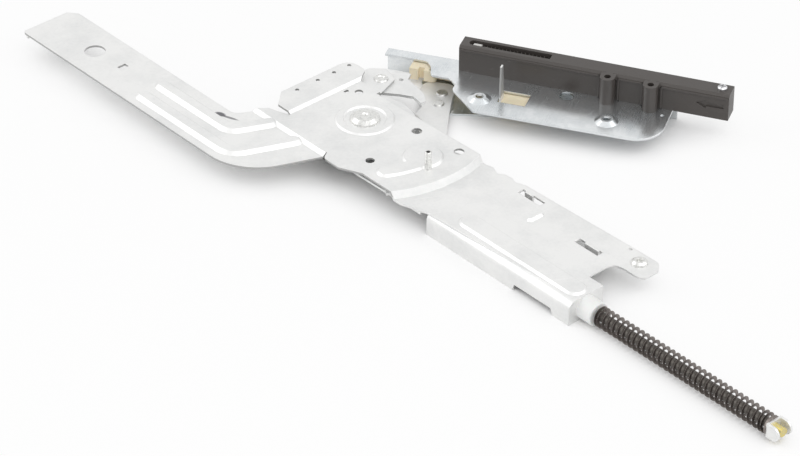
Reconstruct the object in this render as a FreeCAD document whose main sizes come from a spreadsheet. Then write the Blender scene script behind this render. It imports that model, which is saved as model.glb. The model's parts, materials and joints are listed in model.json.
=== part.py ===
import FreeCAD, Part
import math
import os

import Sketcher
from FreeCAD import Placement, Rotation, Vector

# Spring hinge of an appliance door, lying on its back.
# X runs along the frame towards the main spring, Z stands up from the back of the hinge,
# and the origin is where the main pivot meets the plane that the hinge lies on.
# The door bracket and all that rides on it are drawn in the door's own frame, with X along
# the bracket, and are turned about the main pivot to the angle at which the hinge rests.

SIZES = [
    # Sheets and their levels
    ("sheet_thick", 1.5),
    ("boss_top", 21.0),
    ("plate_top", 16.5),
    ("arm_top", 19.0),
    ("shelf_top", 22.9),
    ("lug_top", 19.2),
    ("joggle_shift", 0.65),
    ("joggle_run", 2.6),
    ("neck_run", 2.5),
    ("sheet_play", 0.4),
    # Boss plate round the main pivot
    ("sector_gap", 4.0),
    ("boss_left", 36.0),
    ("boss_front", 42.0),
    ("boss_apron", 49.0),
    ("boss_back", 26.8),
    ("neck_line", 44.0),
    ("ring_radius", 19.5),
    ("ring_rise", 1.0),
    ("dish_radius", 14.4),
    # Arm and neck
    ("arm_end", 234.0),
    ("arm_near", 99.0),
    ("arm_far", 57.3),
    ("neck_inner", 64.0),
    ("neck_right", 12.7),
    ("neck_lean", 21.0),
    ("neck_round", 40.0),
    ("lip_drop", 6.0),
    ("arm_hole_x", 182.8),
    ("arm_hole_y", 78.0),
    ("arm_hole_radius", 7.0),
    ("rib_half_width", 5.5),
    ("rib_rise", 2.4),
    ("rib_bend", 9.0),
    # Shelf behind the fold
    ("shelf_width", 22.2),
    ("shelf_end", 36.8),
    ("shelf_start", 32.5),
    ("shelf_hole_radius", 1.4),
    # Lug that carries the slider cam
    ("lug_x", 31.4),
    ("lug_y", 41.2),
    ("lug_rivet_radius", 3.0),
    # Spring plate and its housing
    ("plate_back", 31.7),
    ("plate_end", 215.5),
    ("ear_x", 225.9),
    ("ear_y", 24.7),
    ("ear_radius", 11.0),
    ("ear_rivet_radius", 2.5),
    ("housing_gap", 16.0),
    ("housing_end", 228.0),
    ("housing_front", 36.5),
    ("housing_inner", 8.0),
    ("housing_bend", 6.0),
    ("skirt_gap_start", 178.0),
    ("skirt_gap_end", 214.0),
    ("skirt_gap_height", 4.5),
    ("ridge_half_width", 7.4),
    ("ridge_rise", 1.4),
    ("slot_length", 20.0),
    ("slot_width", 5.0),
    ("pan_low", 4.5),
    ("pan_gap", 10.5),
    ("pan_end", 203.0),
    ("pan_front", 6.0),
    # Track that is raised over the rivet path, and the pin beside it
    ("track_radius", 62.0),
    ("track_half_width", 6.5),
    ("track_head_radius", 13.5),
    ("track_head_x", 57.4),
    ("track_head_y", 1.4),
    ("track_rise", 1.4),
    ("pin_x", 69.2),
    ("pin_y", 7.5),
    ("pin_radius", 2.2),
    ("pin_bore", 1.4),
    ("pin_height", 12.8),
    # Main pivot
    ("pivot_radius", 6.0),
    ("pivot_head_radius", 10.0),
    ("pivot_head_height", 3.6),
    ("bush_wall", 2.0),
    ("running_fit", 0.05),
    # Door lever
    ("door_angle", 30.5),
    ("lever_thick", 3.0),
    ("hub_radius", 33.0),
    ("step_run", 11.0),
    ("sector_radius", 80.0),
    ("sector_start", -62.0),
    ("sector_end", -13.0),
    ("window_radius", 9.0),
    ("rivet_radius", 2.2),
    ("step_start", 8.0),
    ("step_end", 62.0),
    # Crank pin and tie rod
    ("crank_radius", 27.0),
    ("crank_angle", -135.5),
    ("crank_pin_radius", 4.0),
    ("rod_inset", 4.0),
    ("rod_z", 8.4),
    ("rod_radius", 3.0),
    ("rod_end_x", 384.0),
    ("yoke_thick", 5.0),
    ("yoke_half_length", 16.0),
    ("yoke_half_width", 8.5),
    ("yoke_side_play", 1.2),
    ("yoke_travel", 8.2),
    # Main spring and its seats
    ("bush_radius", 7.8),
    ("bush_length", 12.0),
    ("bush_spigot", 5.6),
    ("spring_radius", 6.65),
    ("wire_radius", 1.2),
    ("spring_pitch", 4.15),
    ("closed_turns", 1.5),
    ("seat_thick", 1.6),
    ("end_clip_length", 9.8),
    ("end_clip_half_width", 5.9),
    ("end_clip_half_height", 4.8),
    # Door bracket, a channel in the door's frame
    ("channel_top", 15.5),
    ("channel_start", -15.0),
    ("channel_end", 183.5),
    ("channel_front", 38.5),
    ("channel_back", 94.5),
    ("channel_floor_front", 60.3),
    ("floor_short", 22.0),
    ("channel_round", 19.0),
    ("dome_near", 60.6),
    ("dome_far", 146.2),
    ("dome_row", 53.6),
    ("dome_radius", 7.8),
    ("dome_rise", 2.2),
    ("thread_radius", 2.6),
    ("guide_start", 72.3),
    ("guide_end", 91.3),
    ("guide_front", 54.0),
    ("guide_back", 68.0),
    # Slider in the channel
    ("slider_play", 0.4),
    ("slider_top", 13.2),
    ("slider_floor", 4.9),
    ("blade_height", 24.0),
    ("blade_thick", 1.2),
    # Plastic rail on the channel
    ("rail_start", 37.6),
    ("rail_front", 82.4),
    ("rail_yaw", -1.4),
    ("rail_length", 183.0),
    ("rail_depth", 13.5),
    ("rail_height", 19.0),
    ("rail_bevel", 1.6),
    ("rail_slot_start", 5.0),
    ("rail_slot_end", 61.0),
    ("rail_slot_width", 5.6),
    ("rail_slot_depth", 6.0),
    ("post_near", 102.5),
    ("post_far", 131.5),
    ("post_radius", 5.0),
    ("post_bore", 2.2),
    ("post_reach", 3.8),
    ("plunger_radius", 2.3),
    ("plunger_length", 6.0),
    ("small_wire", 0.45),
    ("small_pitch", 2.6),
    ("clamp_head_radius", 3.2),
    ("clamp_shank_radius", 1.5),
]

doc = FreeCAD.newDocument("spring_hinge")
table = doc.addObject("Spreadsheet::Sheet", "Sizes")
table.Label = "Sizes"


class Size:
    """A number together with the expression that gives it from the table of sizes."""

    def __init__(self, value, text):
        self.value = float(value)
        self.text = text

    def bound(self):
        return "Sizes." in self.text

    def __add__(self, other):
        other = as_size(other)
        return Size(self.value + other.value, "(%s + %s)" % (self.text, other.text))

    def __radd__(self, other):
        return as_size(other) + self

    def __sub__(self, other):
        other = as_size(other)
        return Size(self.value - other.value, "(%s - %s)" % (self.text, other.text))

    def __rsub__(self, other):
        return as_size(other) - self

    def __mul__(self, factor):
        factor = as_size(factor)
        return Size(self.value * factor.value, "(%s * %s)" % (self.text, factor.text))

    def __rmul__(self, factor):
        return self * factor

    def __neg__(self):
        return Size(-self.value, "(0 - %s)" % self.text)


def as_size(number):
    """Gives a size for a plain number, and a size as it is."""
    if isinstance(number, Size):
        return number
    return Size(number, repr(float(number)))


class Table:
    """The driving sizes, each one an attribute with the name of its cell."""

    def __init__(self, rows):
        for row, (name, value) in enumerate(rows, start=1):
            table.set("A%d" % row, name)
            table.set("B%d" % row, repr(value))
            table.setAlias("B%d" % row, name)
            setattr(self, name, Size(value, "Sizes." + name))


S = Table(SIZES)
doc.recompute()


def bind(thing, prop, number):
    """Sets a property, by an expression where the number comes from the table."""
    size = as_size(number)
    if size.bound():
        thing.setExpression(prop, size.text)
    else:
        setattr(thing, prop, size.value)


def bind_place(thing, x=0, y=0, z=0, rotation=None):
    """Puts a primitive at a place whose coordinates follow the table."""
    place = [as_size(value) for value in (x, y, z)]
    thing.Placement = Placement(Vector(*[size.value for size in place]), rotation or Rotation())
    for axis, size in zip("xyz", place):
        if size.bound():
            thing.setExpression("Placement.Base.%s" % axis, size.text)


def hold_point(sketch, line, end, point):
    """Holds one point of a sketch by two distances from the sketch's origin."""
    for kind, size in zip(("DistanceX", "DistanceY"), point):
        number = sketch.addConstraint(Sketcher.Constraint(kind, -1, 1, line, end, size.value))
        if size.bound():
            sketch.setExpression("Constraints[%d]" % number, size.text)


def draw_outline(sketch, points):
    """Closes straight lines through points, each corner held by bound distances."""
    points = [(as_size(x), as_size(y)) for x, y in points]
    first = sketch.GeometryCount
    count = len(points)
    for index, (x, y) in enumerate(points):
        next_x, next_y = points[(index + 1) % count]
        start = Vector(x.value, y.value, 0)
        end = Vector(next_x.value, next_y.value, 0)
        sketch.addGeometry(Part.LineSegment(start, end), False)
    for index in range(count):
        following = first + (index + 1) % count
        sketch.addConstraint(Sketcher.Constraint("Coincident", first + index, 2, following, 1))
    for index, point in enumerate(points):
        hold_point(sketch, first + index, 1, point)


def draw_circle(sketch, x, y, radius):
    """Draws a circle whose centre and radius are bound."""
    x, y, radius = as_size(x), as_size(y), as_size(radius)
    circle = Part.Circle(Vector(x.value, y.value, 0), Vector(0, 0, 1), radius.value)
    line = sketch.addGeometry(circle, False)
    number = sketch.addConstraint(Sketcher.Constraint("Radius", line, radius.value))
    if radius.bound():
        sketch.setExpression("Constraints[%d]" % number, radius.text)
    hold_point(sketch, line, 3, (x, y))


def draw_box(sketch, x, y, length, width):
    """Draws a rectangle about its centre."""
    x, y = as_size(x), as_size(y)
    half_length, half_width = as_size(length) * 0.5, as_size(width) * 0.5
    draw_outline(sketch, [
        (x - half_length, y - half_width),
        (x + half_length, y - half_width),
        (x + half_length, y + half_width),
        (x - half_length, y + half_width),
    ])


class Solid:
    """A body that is made by pads, pockets and revolutions of bound sketches."""

    def __init__(self, name):
        self.body = doc.addObject("PartDesign::Body", "Body")
        self.body.Label = name

    def sketch(self, role, offset=0):
        """Starts a sketch on one of the body's own planes, moved along its normal."""
        plane = [item for item in self.body.Origin.OriginFeatures if item.Role == role][0]
        sketch = self.body.newObject("Sketcher::SketchObject", "Sketch")
        sketch.AttachmentSupport = [(plane, "")]
        sketch.MapMode = "FlatFace"
        offset = as_size(offset)
        sketch.AttachmentOffset = Placement(Vector(0, 0, offset.value), Rotation())
        if offset.bound():
            sketch.setExpression("AttachmentOffset.Base.z", offset.text)
        return sketch

    def pad(self, sketch, length):
        """Raises a sketch along its normal."""
        feature = self.body.newObject("PartDesign::Pad", "Pad")
        feature.Profile = sketch
        bind(feature, "Length", length)
        doc.recompute()
        return self

    def revolve(self, sketch, axis="V_Axis"):
        """Turns a sketch once round its own axis."""
        feature = self.body.newObject("PartDesign::Revolution", "Revolution")
        feature.Profile = sketch
        feature.ReferenceAxis = (sketch, [axis])
        feature.Angle = 360.0
        doc.recompute()
        return self

    def round_edges(self, radius, chosen):
        """Rounds the edges whose middle point the given test picks."""
        base = self.body.Tip
        names = []
        for index, edge in enumerate(base.Shape.Edges, start=1):
            middle = edge.valueAt(0.5 * (edge.FirstParameter + edge.LastParameter))
            if chosen(edge, middle):
                names.append("Edge%d" % index)
        feature = self.body.newObject("PartDesign::Fillet", "Fillet")
        feature.Base = (base, names)
        bind(feature, "Radius", radius)
        doc.recompute()
        return self

    def round_corners(self, radius, corners):
        """Rounds the upright edges that stand over the given corners."""
        places = [(as_size(x).value, as_size(y).value) for x, y in corners]

        def over_a_corner(edge, middle):
            ends = [vertex.Point for vertex in edge.Vertexes]
            if len(ends) != 2 or math.hypot(ends[0].x - ends[1].x, ends[0].y - ends[1].y) > 0.001:
                return False
            return any(math.hypot(middle.x - x, middle.y - y) < 0.01 for x, y in places)

        return self.round_edges(radius, over_a_corner)


def plate(name, low, thick, points, circles=(), boxes=()):
    """Makes a flat plate from an outline with round and square holes."""
    solid = Solid(name)
    sketch = solid.sketch("XY_Plane", low)
    draw_outline(sketch, points)
    for x, y, radius in circles:
        draw_circle(sketch, x, y, radius)
    for x, y, length, width in boxes:
        draw_box(sketch, x, y, length, width)
    return solid.pad(sketch, thick)


def turned(name, profile, x=0, y=0):
    """Turns a profile of (radius, height) points round an upright axis."""
    solid = Solid(name)
    sketch = solid.sketch("XZ_Plane")
    draw_outline(sketch, profile)
    solid.revolve(sketch)
    bind_place(solid.body, x, y, 0)
    return solid


def turned_along(name, profile, start, y, z):
    """Turns a profile of (distance, radius) points round an axis that runs along X."""
    solid = Solid(name)
    sketch = solid.sketch("XZ_Plane")
    draw_outline(sketch, profile)
    solid.revolve(sketch, "H_Axis")
    bind_place(solid.body, start, y, z)
    return solid


def cylinder(radius, height, x, y, low, rotation=None):
    """Adds an upright cylinder."""
    shape = doc.addObject("Part::Cylinder", "Cylinder")
    bind(shape, "Radius", radius)
    bind(shape, "Height", height)
    bind_place(shape, x, y, low, rotation)
    return shape


def cone(radius_low, radius_top, height, x, y, low):
    """Adds an upright cone with two radii."""
    shape = doc.addObject("Part::Cone", "Cone")
    bind(shape, "Radius1", radius_low)
    bind(shape, "Radius2", radius_top)
    bind(shape, "Height", height)
    bind_place(shape, x, y, low)
    return shape


def block(x0, x1, y0, y1, z0, z1):
    """Adds a box between two opposite corners."""
    shape = doc.addObject("Part::Box", "Block")
    bind(shape, "Length", as_size(x1) - x0)
    bind(shape, "Width", as_size(y1) - y0)
    bind(shape, "Height", as_size(z1) - z0)
    bind_place(shape, x0, y0, z0)
    return shape


def body_of(thing):
    """Gives the document object of a solid or of an object itself."""
    return thing.body if isinstance(thing, Solid) else thing


def join(*things):
    """Fuses things into one shape."""
    fused = doc.addObject("Part::MultiFuse", "Join")
    fused.Shapes = [body_of(thing) for thing in things]
    fused.Refine = True
    doc.recompute()
    return fused


def overlap(first, second):
    """Keeps what two things share."""
    common = doc.addObject("Part::Common", "Overlap")
    common.Base = body_of(first)
    common.Tool = body_of(second)
    doc.recompute()
    return common


def cut(base, *tools):
    """Cuts tools out of a thing."""
    tool = body_of(tools[0]) if len(tools) == 1 else join(*tools)
    result = doc.addObject("Part::Cut", "Cut")
    result.Base = body_of(base)
    result.Tool = tool
    result.Refine = True
    doc.recompute()
    return result


def straight(x0, y0, x1, y1):
    """Gives a straight stretch of a path as three stations of x, y and heading."""
    heading = math.atan2(y1 - y0, x1 - x0)
    middle = (0.5 * (x0 + x1), 0.5 * (y0 + y1), heading)
    return [(x0, y0, heading), middle, (x1, y1, heading)]


def sweep_round(x, y, radius, first, last):
    """Gives a round stretch of a path about a centre, from one angle to another, in degrees."""
    side = math.copysign(math.pi / 2, last - first)
    stations = []
    for angle in (first, 0.5 * (first + last), last):
        turn = math.radians(angle)
        stations.append((x + radius * math.cos(turn), y + radius * math.sin(turn), turn + side))
    return stations


def bent(x0, y0, corner_x, corner_y, x1, y1, radius):
    """Gives two straight stretches joined by a tangent arc."""
    first = math.atan2(corner_y - y0, corner_x - x0)
    second = math.atan2(y1 - corner_y, x1 - corner_x)
    turn = math.remainder(second - first, 2 * math.pi)
    trim = radius * math.tan(abs(turn) / 2)
    start_x = corner_x - trim * math.cos(first)
    start_y = corner_y - trim * math.sin(first)
    end_x = corner_x + trim * math.cos(second)
    end_y = corner_y + trim * math.sin(second)
    side = math.copysign(1, turn)
    centre_x = start_x - side * radius * math.sin(first)
    centre_y = start_y + side * radius * math.cos(first)
    begin = math.degrees(math.atan2(start_y - centre_y, start_x - centre_x))
    arc = sweep_round(centre_x, centre_y, radius, begin, begin + math.degrees(turn))
    return [straight(x0, y0, start_x, start_y), arc, straight(end_x, end_y, x1, y1)]


def band_wire(path, half_width, level):
    """Closes an outline at a constant distance round a path, with round ends."""
    def beside(station, shift):
        x, y, heading = station
        return Vector(x - shift * math.sin(heading), y + shift * math.cos(heading), level)

    def beyond(station, shift):
        x, y, heading = station
        return Vector(x + shift * math.cos(heading), y + shift * math.sin(heading), level)

    def edge(stations, shift):
        points = [beside(station, shift) for station in stations]
        if abs(stations[0][2] - stations[2][2]) < 1e-9:
            return Part.LineSegment(points[0], points[2]).toShape()
        return Part.Arc(*points).toShape()

    start, end = path[0][0], path[-1][2]
    edges = [edge(stations, -half_width) for stations in path]
    cap = (beside(end, -half_width), beyond(end, half_width), beside(end, half_width))
    edges.append(Part.Arc(*cap).toShape())
    edges += [edge(stations[::-1], half_width) for stations in reversed(path)]
    cap = (beside(start, half_width), beyond(start, -half_width), beside(start, -half_width))
    edges.append(Part.Arc(*cap).toShape())
    return Part.Wire(edges)


def raised_band(path, half_width, rise, level):
    """Makes a ridge along a path, with sides that slope at 45 degrees."""
    foot = band_wire(path, half_width, level)
    crest = band_wire(path, half_width - rise, level + rise)
    ridge = doc.addObject("Part::Feature", "Ridge")
    ridge.Shape = Part.makeLoft([foot, crest], True, True)
    return ridge


def press_bands(sheet, bands):
    """Presses ridges up out of a sheet, each one hollow below."""
    ridges = []
    hollows = []
    for path, half_width, rise, top in bands:
        ridges.append(raised_band(path, half_width.value, rise.value, top.value))
        low = top.value - S.sheet_thick.value
        hollows.append(raised_band(path, half_width.value, rise.value, low))
    return cut(join(sheet, *ridges), *hollows)


nodes = {}

# Slots in the spring plate by the middle of each, and the start and end of the tab that stands in it
TAB_SLOTS = [(131.1, 23.8, 124.2, 131.2), (193.4, 13.3, 189.0, 201.0)]

# Places of the rivets between lever and bracket, in the door's frame
LEVER_RIVETS = [(30.5, 68.5), (32.0, 56.0)]


def name_node(label, thing, placement=None):
    """Names a finished piece and keeps it for export."""
    piece = body_of(thing)
    piece.Label = label
    if placement is not None:
        piece.Placement = placement
    nodes[label] = piece
    return piece


# Levels that several pieces share
boss_low = S.boss_top - S.sheet_thick
plate_low = S.plate_top - S.sheet_thick
back_low = plate_low - S.sheet_thick
hub_low = plate_low + S.sheet_play
hub_top = hub_low + S.lever_thick
channel_low = S.channel_top - S.sheet_thick
# Places that follow the lever's reach and the crank
boss_radius = S.sector_radius + S.sector_gap
housing_start = boss_radius + S.housing_gap
pan_start = boss_radius + S.pan_gap
rod_y = S.crank_radius - S.rod_inset

floor_low = as_size(0)
floor_top = S.sheet_thick
outer_low = floor_top
outer_top = outer_low + S.lever_thick
pan_top = S.pan_low + S.sheet_thick
lug_low = S.lug_top - S.sheet_thick
door = Placement(Vector(0, 0, 0), Rotation(Vector(0, 0, 1), S.door_angle.value))


# Front plate: boss plate and spring plate on their two levels, with the arc step between them
def boss_and_spring_plate():
    far = 260.0
    inner = boss_radius - S.joggle_shift
    outer = boss_radius + S.joggle_run
    levels = Solid("plate levels")
    sketch = levels.sketch("XZ_Plane")
    draw_outline(sketch, [
        (0, boss_low),
        (inner, boss_low),
        (outer - S.joggle_shift, plate_low),
        (far, plate_low),
        (far, S.plate_top),
        (outer, S.plate_top),
        (boss_radius, S.boss_top),
        (0, S.boss_top),
    ])
    levels.revolve(sketch)

    ear_top = S.ear_y + S.ear_radius * 0.8
    ear_front = S.ear_y - S.ear_radius
    ear_tip = S.ear_x + S.ear_radius + 2.5
    corners = [
        (-S.boss_left - 19.0, -S.neck_line + 1.0),
        (S.neck_right, -S.neck_line + 1.0),
        (S.neck_right + 4.0, -S.boss_apron),
        (S.neck_right + 18.0, -S.boss_apron),
        (S.neck_right + 33.0, -S.boss_front),
        (boss_radius - 3.0, -S.boss_front),
        (housing_start, -S.housing_front + 0.5),
        (S.housing_end - 1.0, -S.housing_front + S.housing_bend),
        (S.housing_end - 1.0, -S.housing_inner),
        (S.plate_end, -S.housing_inner),
        (S.plate_end, ear_front - 2.0),
        (S.plate_end + 8.0, ear_front),
        (ear_tip - 2.0, ear_front),
        (ear_tip, ear_front + 3.0),
        (ear_tip, ear_top - 6.0),
        (ear_tip - 5.0, ear_top),
        (S.plate_end - 3.0, S.plate_back + 1.5),
        (S.plate_end - 97.0, S.plate_back - 1.5),
        (S.plate_end - 103.0, S.plate_back - 4.0),
        (S.plate_end - 108.0, S.plate_back - 2.5),
        (S.plate_end - 114.0, S.plate_back - 3.0),
        (S.plate_end - 118.0, S.plate_back - 6.0),
        (S.plate_end - 125.0, S.plate_back - 3.0),
        (S.plate_end - 130.0, S.plate_back - 4.5),
        (boss_radius - 6.0, S.boss_back + 1.0),
        (-S.boss_left + 0.5, S.boss_back - 2.0),
        (-S.boss_left + 0.5, -S.shelf_start),
        (-S.boss_left - 5.0, -S.shelf_start - 2.5),
        (-S.boss_left - 15.0, -S.shelf_start - 5.5),
    ]
    circles = [
        (0, 0, S.pivot_radius),
        (-33.2, 12.6, 1.7),
        (-26.8, 18.1, 2.8),
        (38.1, -28.9, 3.0),
        (32.5, 15.7, 3.4),
        (67.8, 20.1, 3.4),
        (S.plate_end - 3.5, S.plate_back - 0.8, 1.2),
        (S.ear_x, S.ear_y, S.ear_rivet_radius),
    ]
    boxes = [(x, y, S.slot_length, S.slot_width) for x, y, first, last in TAB_SLOTS]
    plan = plate("plate plan", 10.0, 16.0, corners, circles, boxes)
    plan.round_corners(6.0, [corners[10], corners[12], corners[15]])
    plan.round_corners(4.0, [corners[4], corners[2], corners[3]])
    plan.round_corners(2.5, corners[18:24])
    return overlap(levels, plan)


def arm_and_neck():
    arm_low = S.arm_top - S.sheet_thick
    step = -S.neck_line - S.neck_run
    profile = Solid("arm levels")
    sketch = profile.sketch("YZ_Plane", -S.arm_end - 4.0)
    draw_outline(sketch, [
        (-S.neck_line + 2.0, boss_low),
        (-S.neck_line + 2.0, S.boss_top),
        (-S.neck_line, S.boss_top),
        (step, S.arm_top),
        (-S.arm_near - 4.0, S.arm_top),
        (-S.arm_near - 4.0, arm_low),
        (step + S.joggle_shift, arm_low),
        (-S.neck_line + S.joggle_shift, boss_low),
    ])
    profile.pad(sketch, S.arm_end + S.neck_right + 8.0)

    top = -S.neck_line + 2.0
    corners = [
        (-S.arm_end, -S.arm_near),
        (S.neck_right - S.neck_lean, -S.arm_near),
        (S.neck_right, -S.neck_line - 2.5),
        (S.neck_right, top),
        (-S.boss_left - 19.0, top),
        (-S.neck_inner + 1.0, -S.arm_far),
        (-S.arm_end + 6.5, -S.arm_far),
        (-S.arm_end, -S.arm_far - 5.0),
    ]
    tab_x = -S.arm_hole_x + 27.5
    circles = [(-S.arm_hole_x, -S.arm_hole_y, S.arm_hole_radius)]
    boxes = [(tab_x, -S.arm_hole_y + 2.0, 4.0, 6.5)]
    plan = plate("arm plan", 10.0, 16.0, corners, circles, boxes)
    plan.round_corners(S.neck_round, [corners[1]])
    plan.round_corners(8.0, [corners[5]])
    plan.round_corners(2.5, [corners[0]])

    lip = block(-S.arm_end, -S.arm_end + S.sheet_thick, -S.arm_near + 2.5, -S.arm_near + 12.0,
                S.arm_top - S.lip_drop, S.arm_top - 0.5)
    return join(overlap(profile, plan), lip)


def shelf():
    """The strip beyond the fold, one step above the boss plate, with its row of small holes."""
    rise = S.shelf_top - S.boss_top
    shelf_low = S.shelf_top - S.sheet_thick
    far = -S.boss_left - S.shelf_width
    profile = Solid("shelf levels")
    sketch = profile.sketch("XZ_Plane", -S.shelf_end)
    draw_outline(sketch, [
        (-S.boss_left + 2.0, boss_low),
        (-S.boss_left + 2.0, S.boss_top),
        (-S.boss_left, S.boss_top),
        (-S.boss_left - rise, S.shelf_top),
        (far - 2.0, S.shelf_top),
        (far - 2.0, shelf_low),
        (-S.boss_left - rise - S.joggle_shift, shelf_low),
        (-S.boss_left - S.joggle_shift, boss_low),
    ])
    profile.pad(sketch, S.shelf_end + S.shelf_start)
    hole_x = far + 5.0
    corners = [
        (-S.boss_left - 12.0, -S.shelf_start),
        (-S.boss_left + 2.0, -S.shelf_start),
        (-S.boss_left + 2.0, S.boss_back - 2.0),
        (-S.boss_left - 6.0, S.shelf_end),
        (far, S.shelf_end),
        (far, -S.shelf_start + 11.0),
    ]
    circles = [
        (hole_x, -12.1, S.shelf_hole_radius),
        (hole_x, 5.5, S.shelf_hole_radius),
        (hole_x, 19.5, S.shelf_hole_radius),
        (hole_x, S.shelf_end - 4.2, S.shelf_hole_radius),
    ]
    plan = plate("shelf plan", 10.0, 16.0, corners, circles)
    plan.round_corners(8.0, [corners[4]])
    plan.round_corners(4.0, [corners[3]])
    return overlap(profile, plan)


def lug():
    """The lug past the boss plate's back edge, one step down, that carries the slider cam."""
    drop = S.boss_top - S.lug_top
    profile = Solid("lug levels")
    sketch = profile.sketch("YZ_Plane", -S.lug_x - 24.0)
    draw_outline(sketch, [
        (S.boss_back - 5.0, boss_low),
        (S.boss_back - 5.0, S.boss_top),
        (S.boss_back + 1.0, S.boss_top),
        (S.boss_back + 1.0 + drop, S.lug_top),
        (S.lug_y + 16.0, S.lug_top),
        (S.lug_y + 16.0, lug_low),
        (S.boss_back + 1.0 + drop - S.joggle_shift, lug_low),
        (S.boss_back + 1.0 - S.joggle_shift, boss_low),
    ])
    profile.pad(sketch, 44.0)
    corners = [
        (-S.lug_x - 3.0, S.boss_back - 5.0),
        (-S.lug_x + 13.5, S.boss_back - 5.0),
        (-S.lug_x + 13.5, S.boss_back + 2.0),
        (-S.lug_x + 6.5, S.lug_y + 6.5),
        (-S.lug_x - 7.0, S.lug_y + 11.0),
        (-S.lug_x - 16.0, S.lug_y + 1.0),
    ]
    circles = [(-S.lug_x, S.lug_y, S.lug_rivet_radius)]
    plan = plate("lug plan", 10.0, 16.0, corners, circles)
    plan.round_corners(4.0, corners[3:6])
    return overlap(profile, plan)


def housing():
    """The wall that folds down from the spring plate, and the end wall that the rod passes."""
    section = Solid("housing section")
    sketch = section.sketch("YZ_Plane", housing_start)
    outer = -S.housing_front
    inner = outer + S.sheet_thick
    start = outer + S.housing_bend + 2.0
    draw_outline(sketch, [
        (outer, 0),
        (inner, 0),
        (inner, plate_low),
        (start, plate_low),
        (start, S.plate_top),
        (outer, S.plate_top),
    ])
    section.pad(sketch, S.housing_end - housing_start)

    def along_x(edge, middle):
        ends = [vertex.Point for vertex in edge.Vertexes]
        return len(ends) == 2 and abs(ends[0].x - ends[1].x) > 10.0

    def outer_bend(edge, middle):
        return (along_x(edge, middle) and abs(middle.y - outer.value) < 0.01
                and abs(middle.z - S.plate_top.value) < 0.01)

    def inner_bend(edge, middle):
        return (along_x(edge, middle) and abs(middle.y - inner.value) < 0.01
                and abs(middle.z - plate_low.value) < 0.01)

    section.round_edges(S.housing_bend, outer_bend)
    section.round_edges(S.housing_bend - S.sheet_thick, inner_bend)

    gap = Solid("skirt gap")
    sketch = gap.sketch("XZ_Plane", S.housing_front - 5.0)
    draw_outline(sketch, [
        (S.skirt_gap_start, -1),
        (S.skirt_gap_end, -1),
        (S.skirt_gap_end - 2.0, S.skirt_gap_height),
        (S.skirt_gap_start + 2.0, S.skirt_gap_height),
    ])
    gap.pad(sketch, 10.0)

    end = Solid("end wall")
    sketch = end.sketch("YZ_Plane", S.housing_end - S.sheet_thick)
    draw_outline(sketch, [
        (-S.housing_front + 1.0, 0),
        (-S.housing_inner, 0),
        (-S.housing_inner, S.plate_top),
        (-S.housing_front + S.housing_bend, S.plate_top),
        (-S.housing_front + 1.0, S.plate_top - S.housing_bend + 1.0),
    ])
    draw_circle(sketch, -rod_y, S.rod_z, S.bush_spigot)
    end.pad(sketch, S.sheet_thick)
    roof = block(S.plate_end - 2.0, S.housing_end, -S.housing_front + S.housing_bend, -S.housing_inner,
                 plate_low, S.plate_top)
    return join(cut(section, gap), end, roof)


def ribs_and_tracks(sheet):
    """Presses the two bent ribs, the round track, the ridge over the rod and the small marks."""
    arm = S.arm_top
    bend = S.rib_bend.value
    rib_inner = bent(-118.7, -71.0, -49.5, -71.0, -39.0, -47.5, bend)
    rib_outer = bent(-117.6, -88.0, -29.0, -88.0, -12.6, -49.0, bend + 4.0)
    track = [sweep_round(0, 0, S.track_radius.value, -28.5, 0.0)]
    ridge_y = -rod_y.value
    ridge_end = S.housing_end.value - S.ridge_half_width.value - 1.5
    ridge = [straight(housing_start.value + 26.0, ridge_y, ridge_end, ridge_y)]
    lance = [straight(148.5, 6.5, 148.5, 14.5)]
    return press_bands(sheet, [
        (rib_inner, S.rib_half_width, S.rib_rise, arm),
        (rib_outer, S.rib_half_width, S.rib_rise, arm),
        (track, S.track_half_width, S.track_rise, S.boss_top),
        (ridge, S.ridge_half_width, S.ridge_rise, S.plate_top),
        (lance, S.slot_width * 0.5, S.sheet_thick * 1.1, S.plate_top),
    ])


def front_plate():
    blank = join(boss_and_spring_plate(), arm_and_neck(), shelf(), lug(), housing())
    sheet = ribs_and_tracks(blank)
    head = (S.track_head_x, -S.track_head_y, S.track_head_radius)
    ring_top = S.boss_top + S.ring_rise
    added = [
        cone(S.ring_radius, S.ring_radius - S.ring_rise, S.ring_rise, 0, 0, S.boss_top),
        cone(head[2], head[2] - S.track_rise, S.track_rise, head[0], head[1], S.boss_top),
    ]
    removed = [
        cone(S.ring_radius, S.ring_radius - S.ring_rise, S.ring_rise, 0, 0, boss_low),
        cone(S.dish_radius - S.ring_rise, S.dish_radius, S.ring_rise, 0, 0, ring_top - S.ring_rise),
        cone(head[2], head[2] - S.track_rise, S.track_rise, head[0], head[1], boss_low),
        cylinder(S.pivot_radius, 10.0, 0, 0, boss_low - 2.0),
        cylinder(S.pin_radius, 10.0, S.pin_x, -S.pin_y, boss_low - 2.0),
    ]
    floor = cut(cylinder(S.dish_radius, S.sheet_thick, 0, 0, boss_low),
                cylinder(S.pivot_radius, 10.0, 0, 0, boss_low - 2.0))
    name_node("front_plate", join(cut(join(sheet, *added), *removed), floor))


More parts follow.
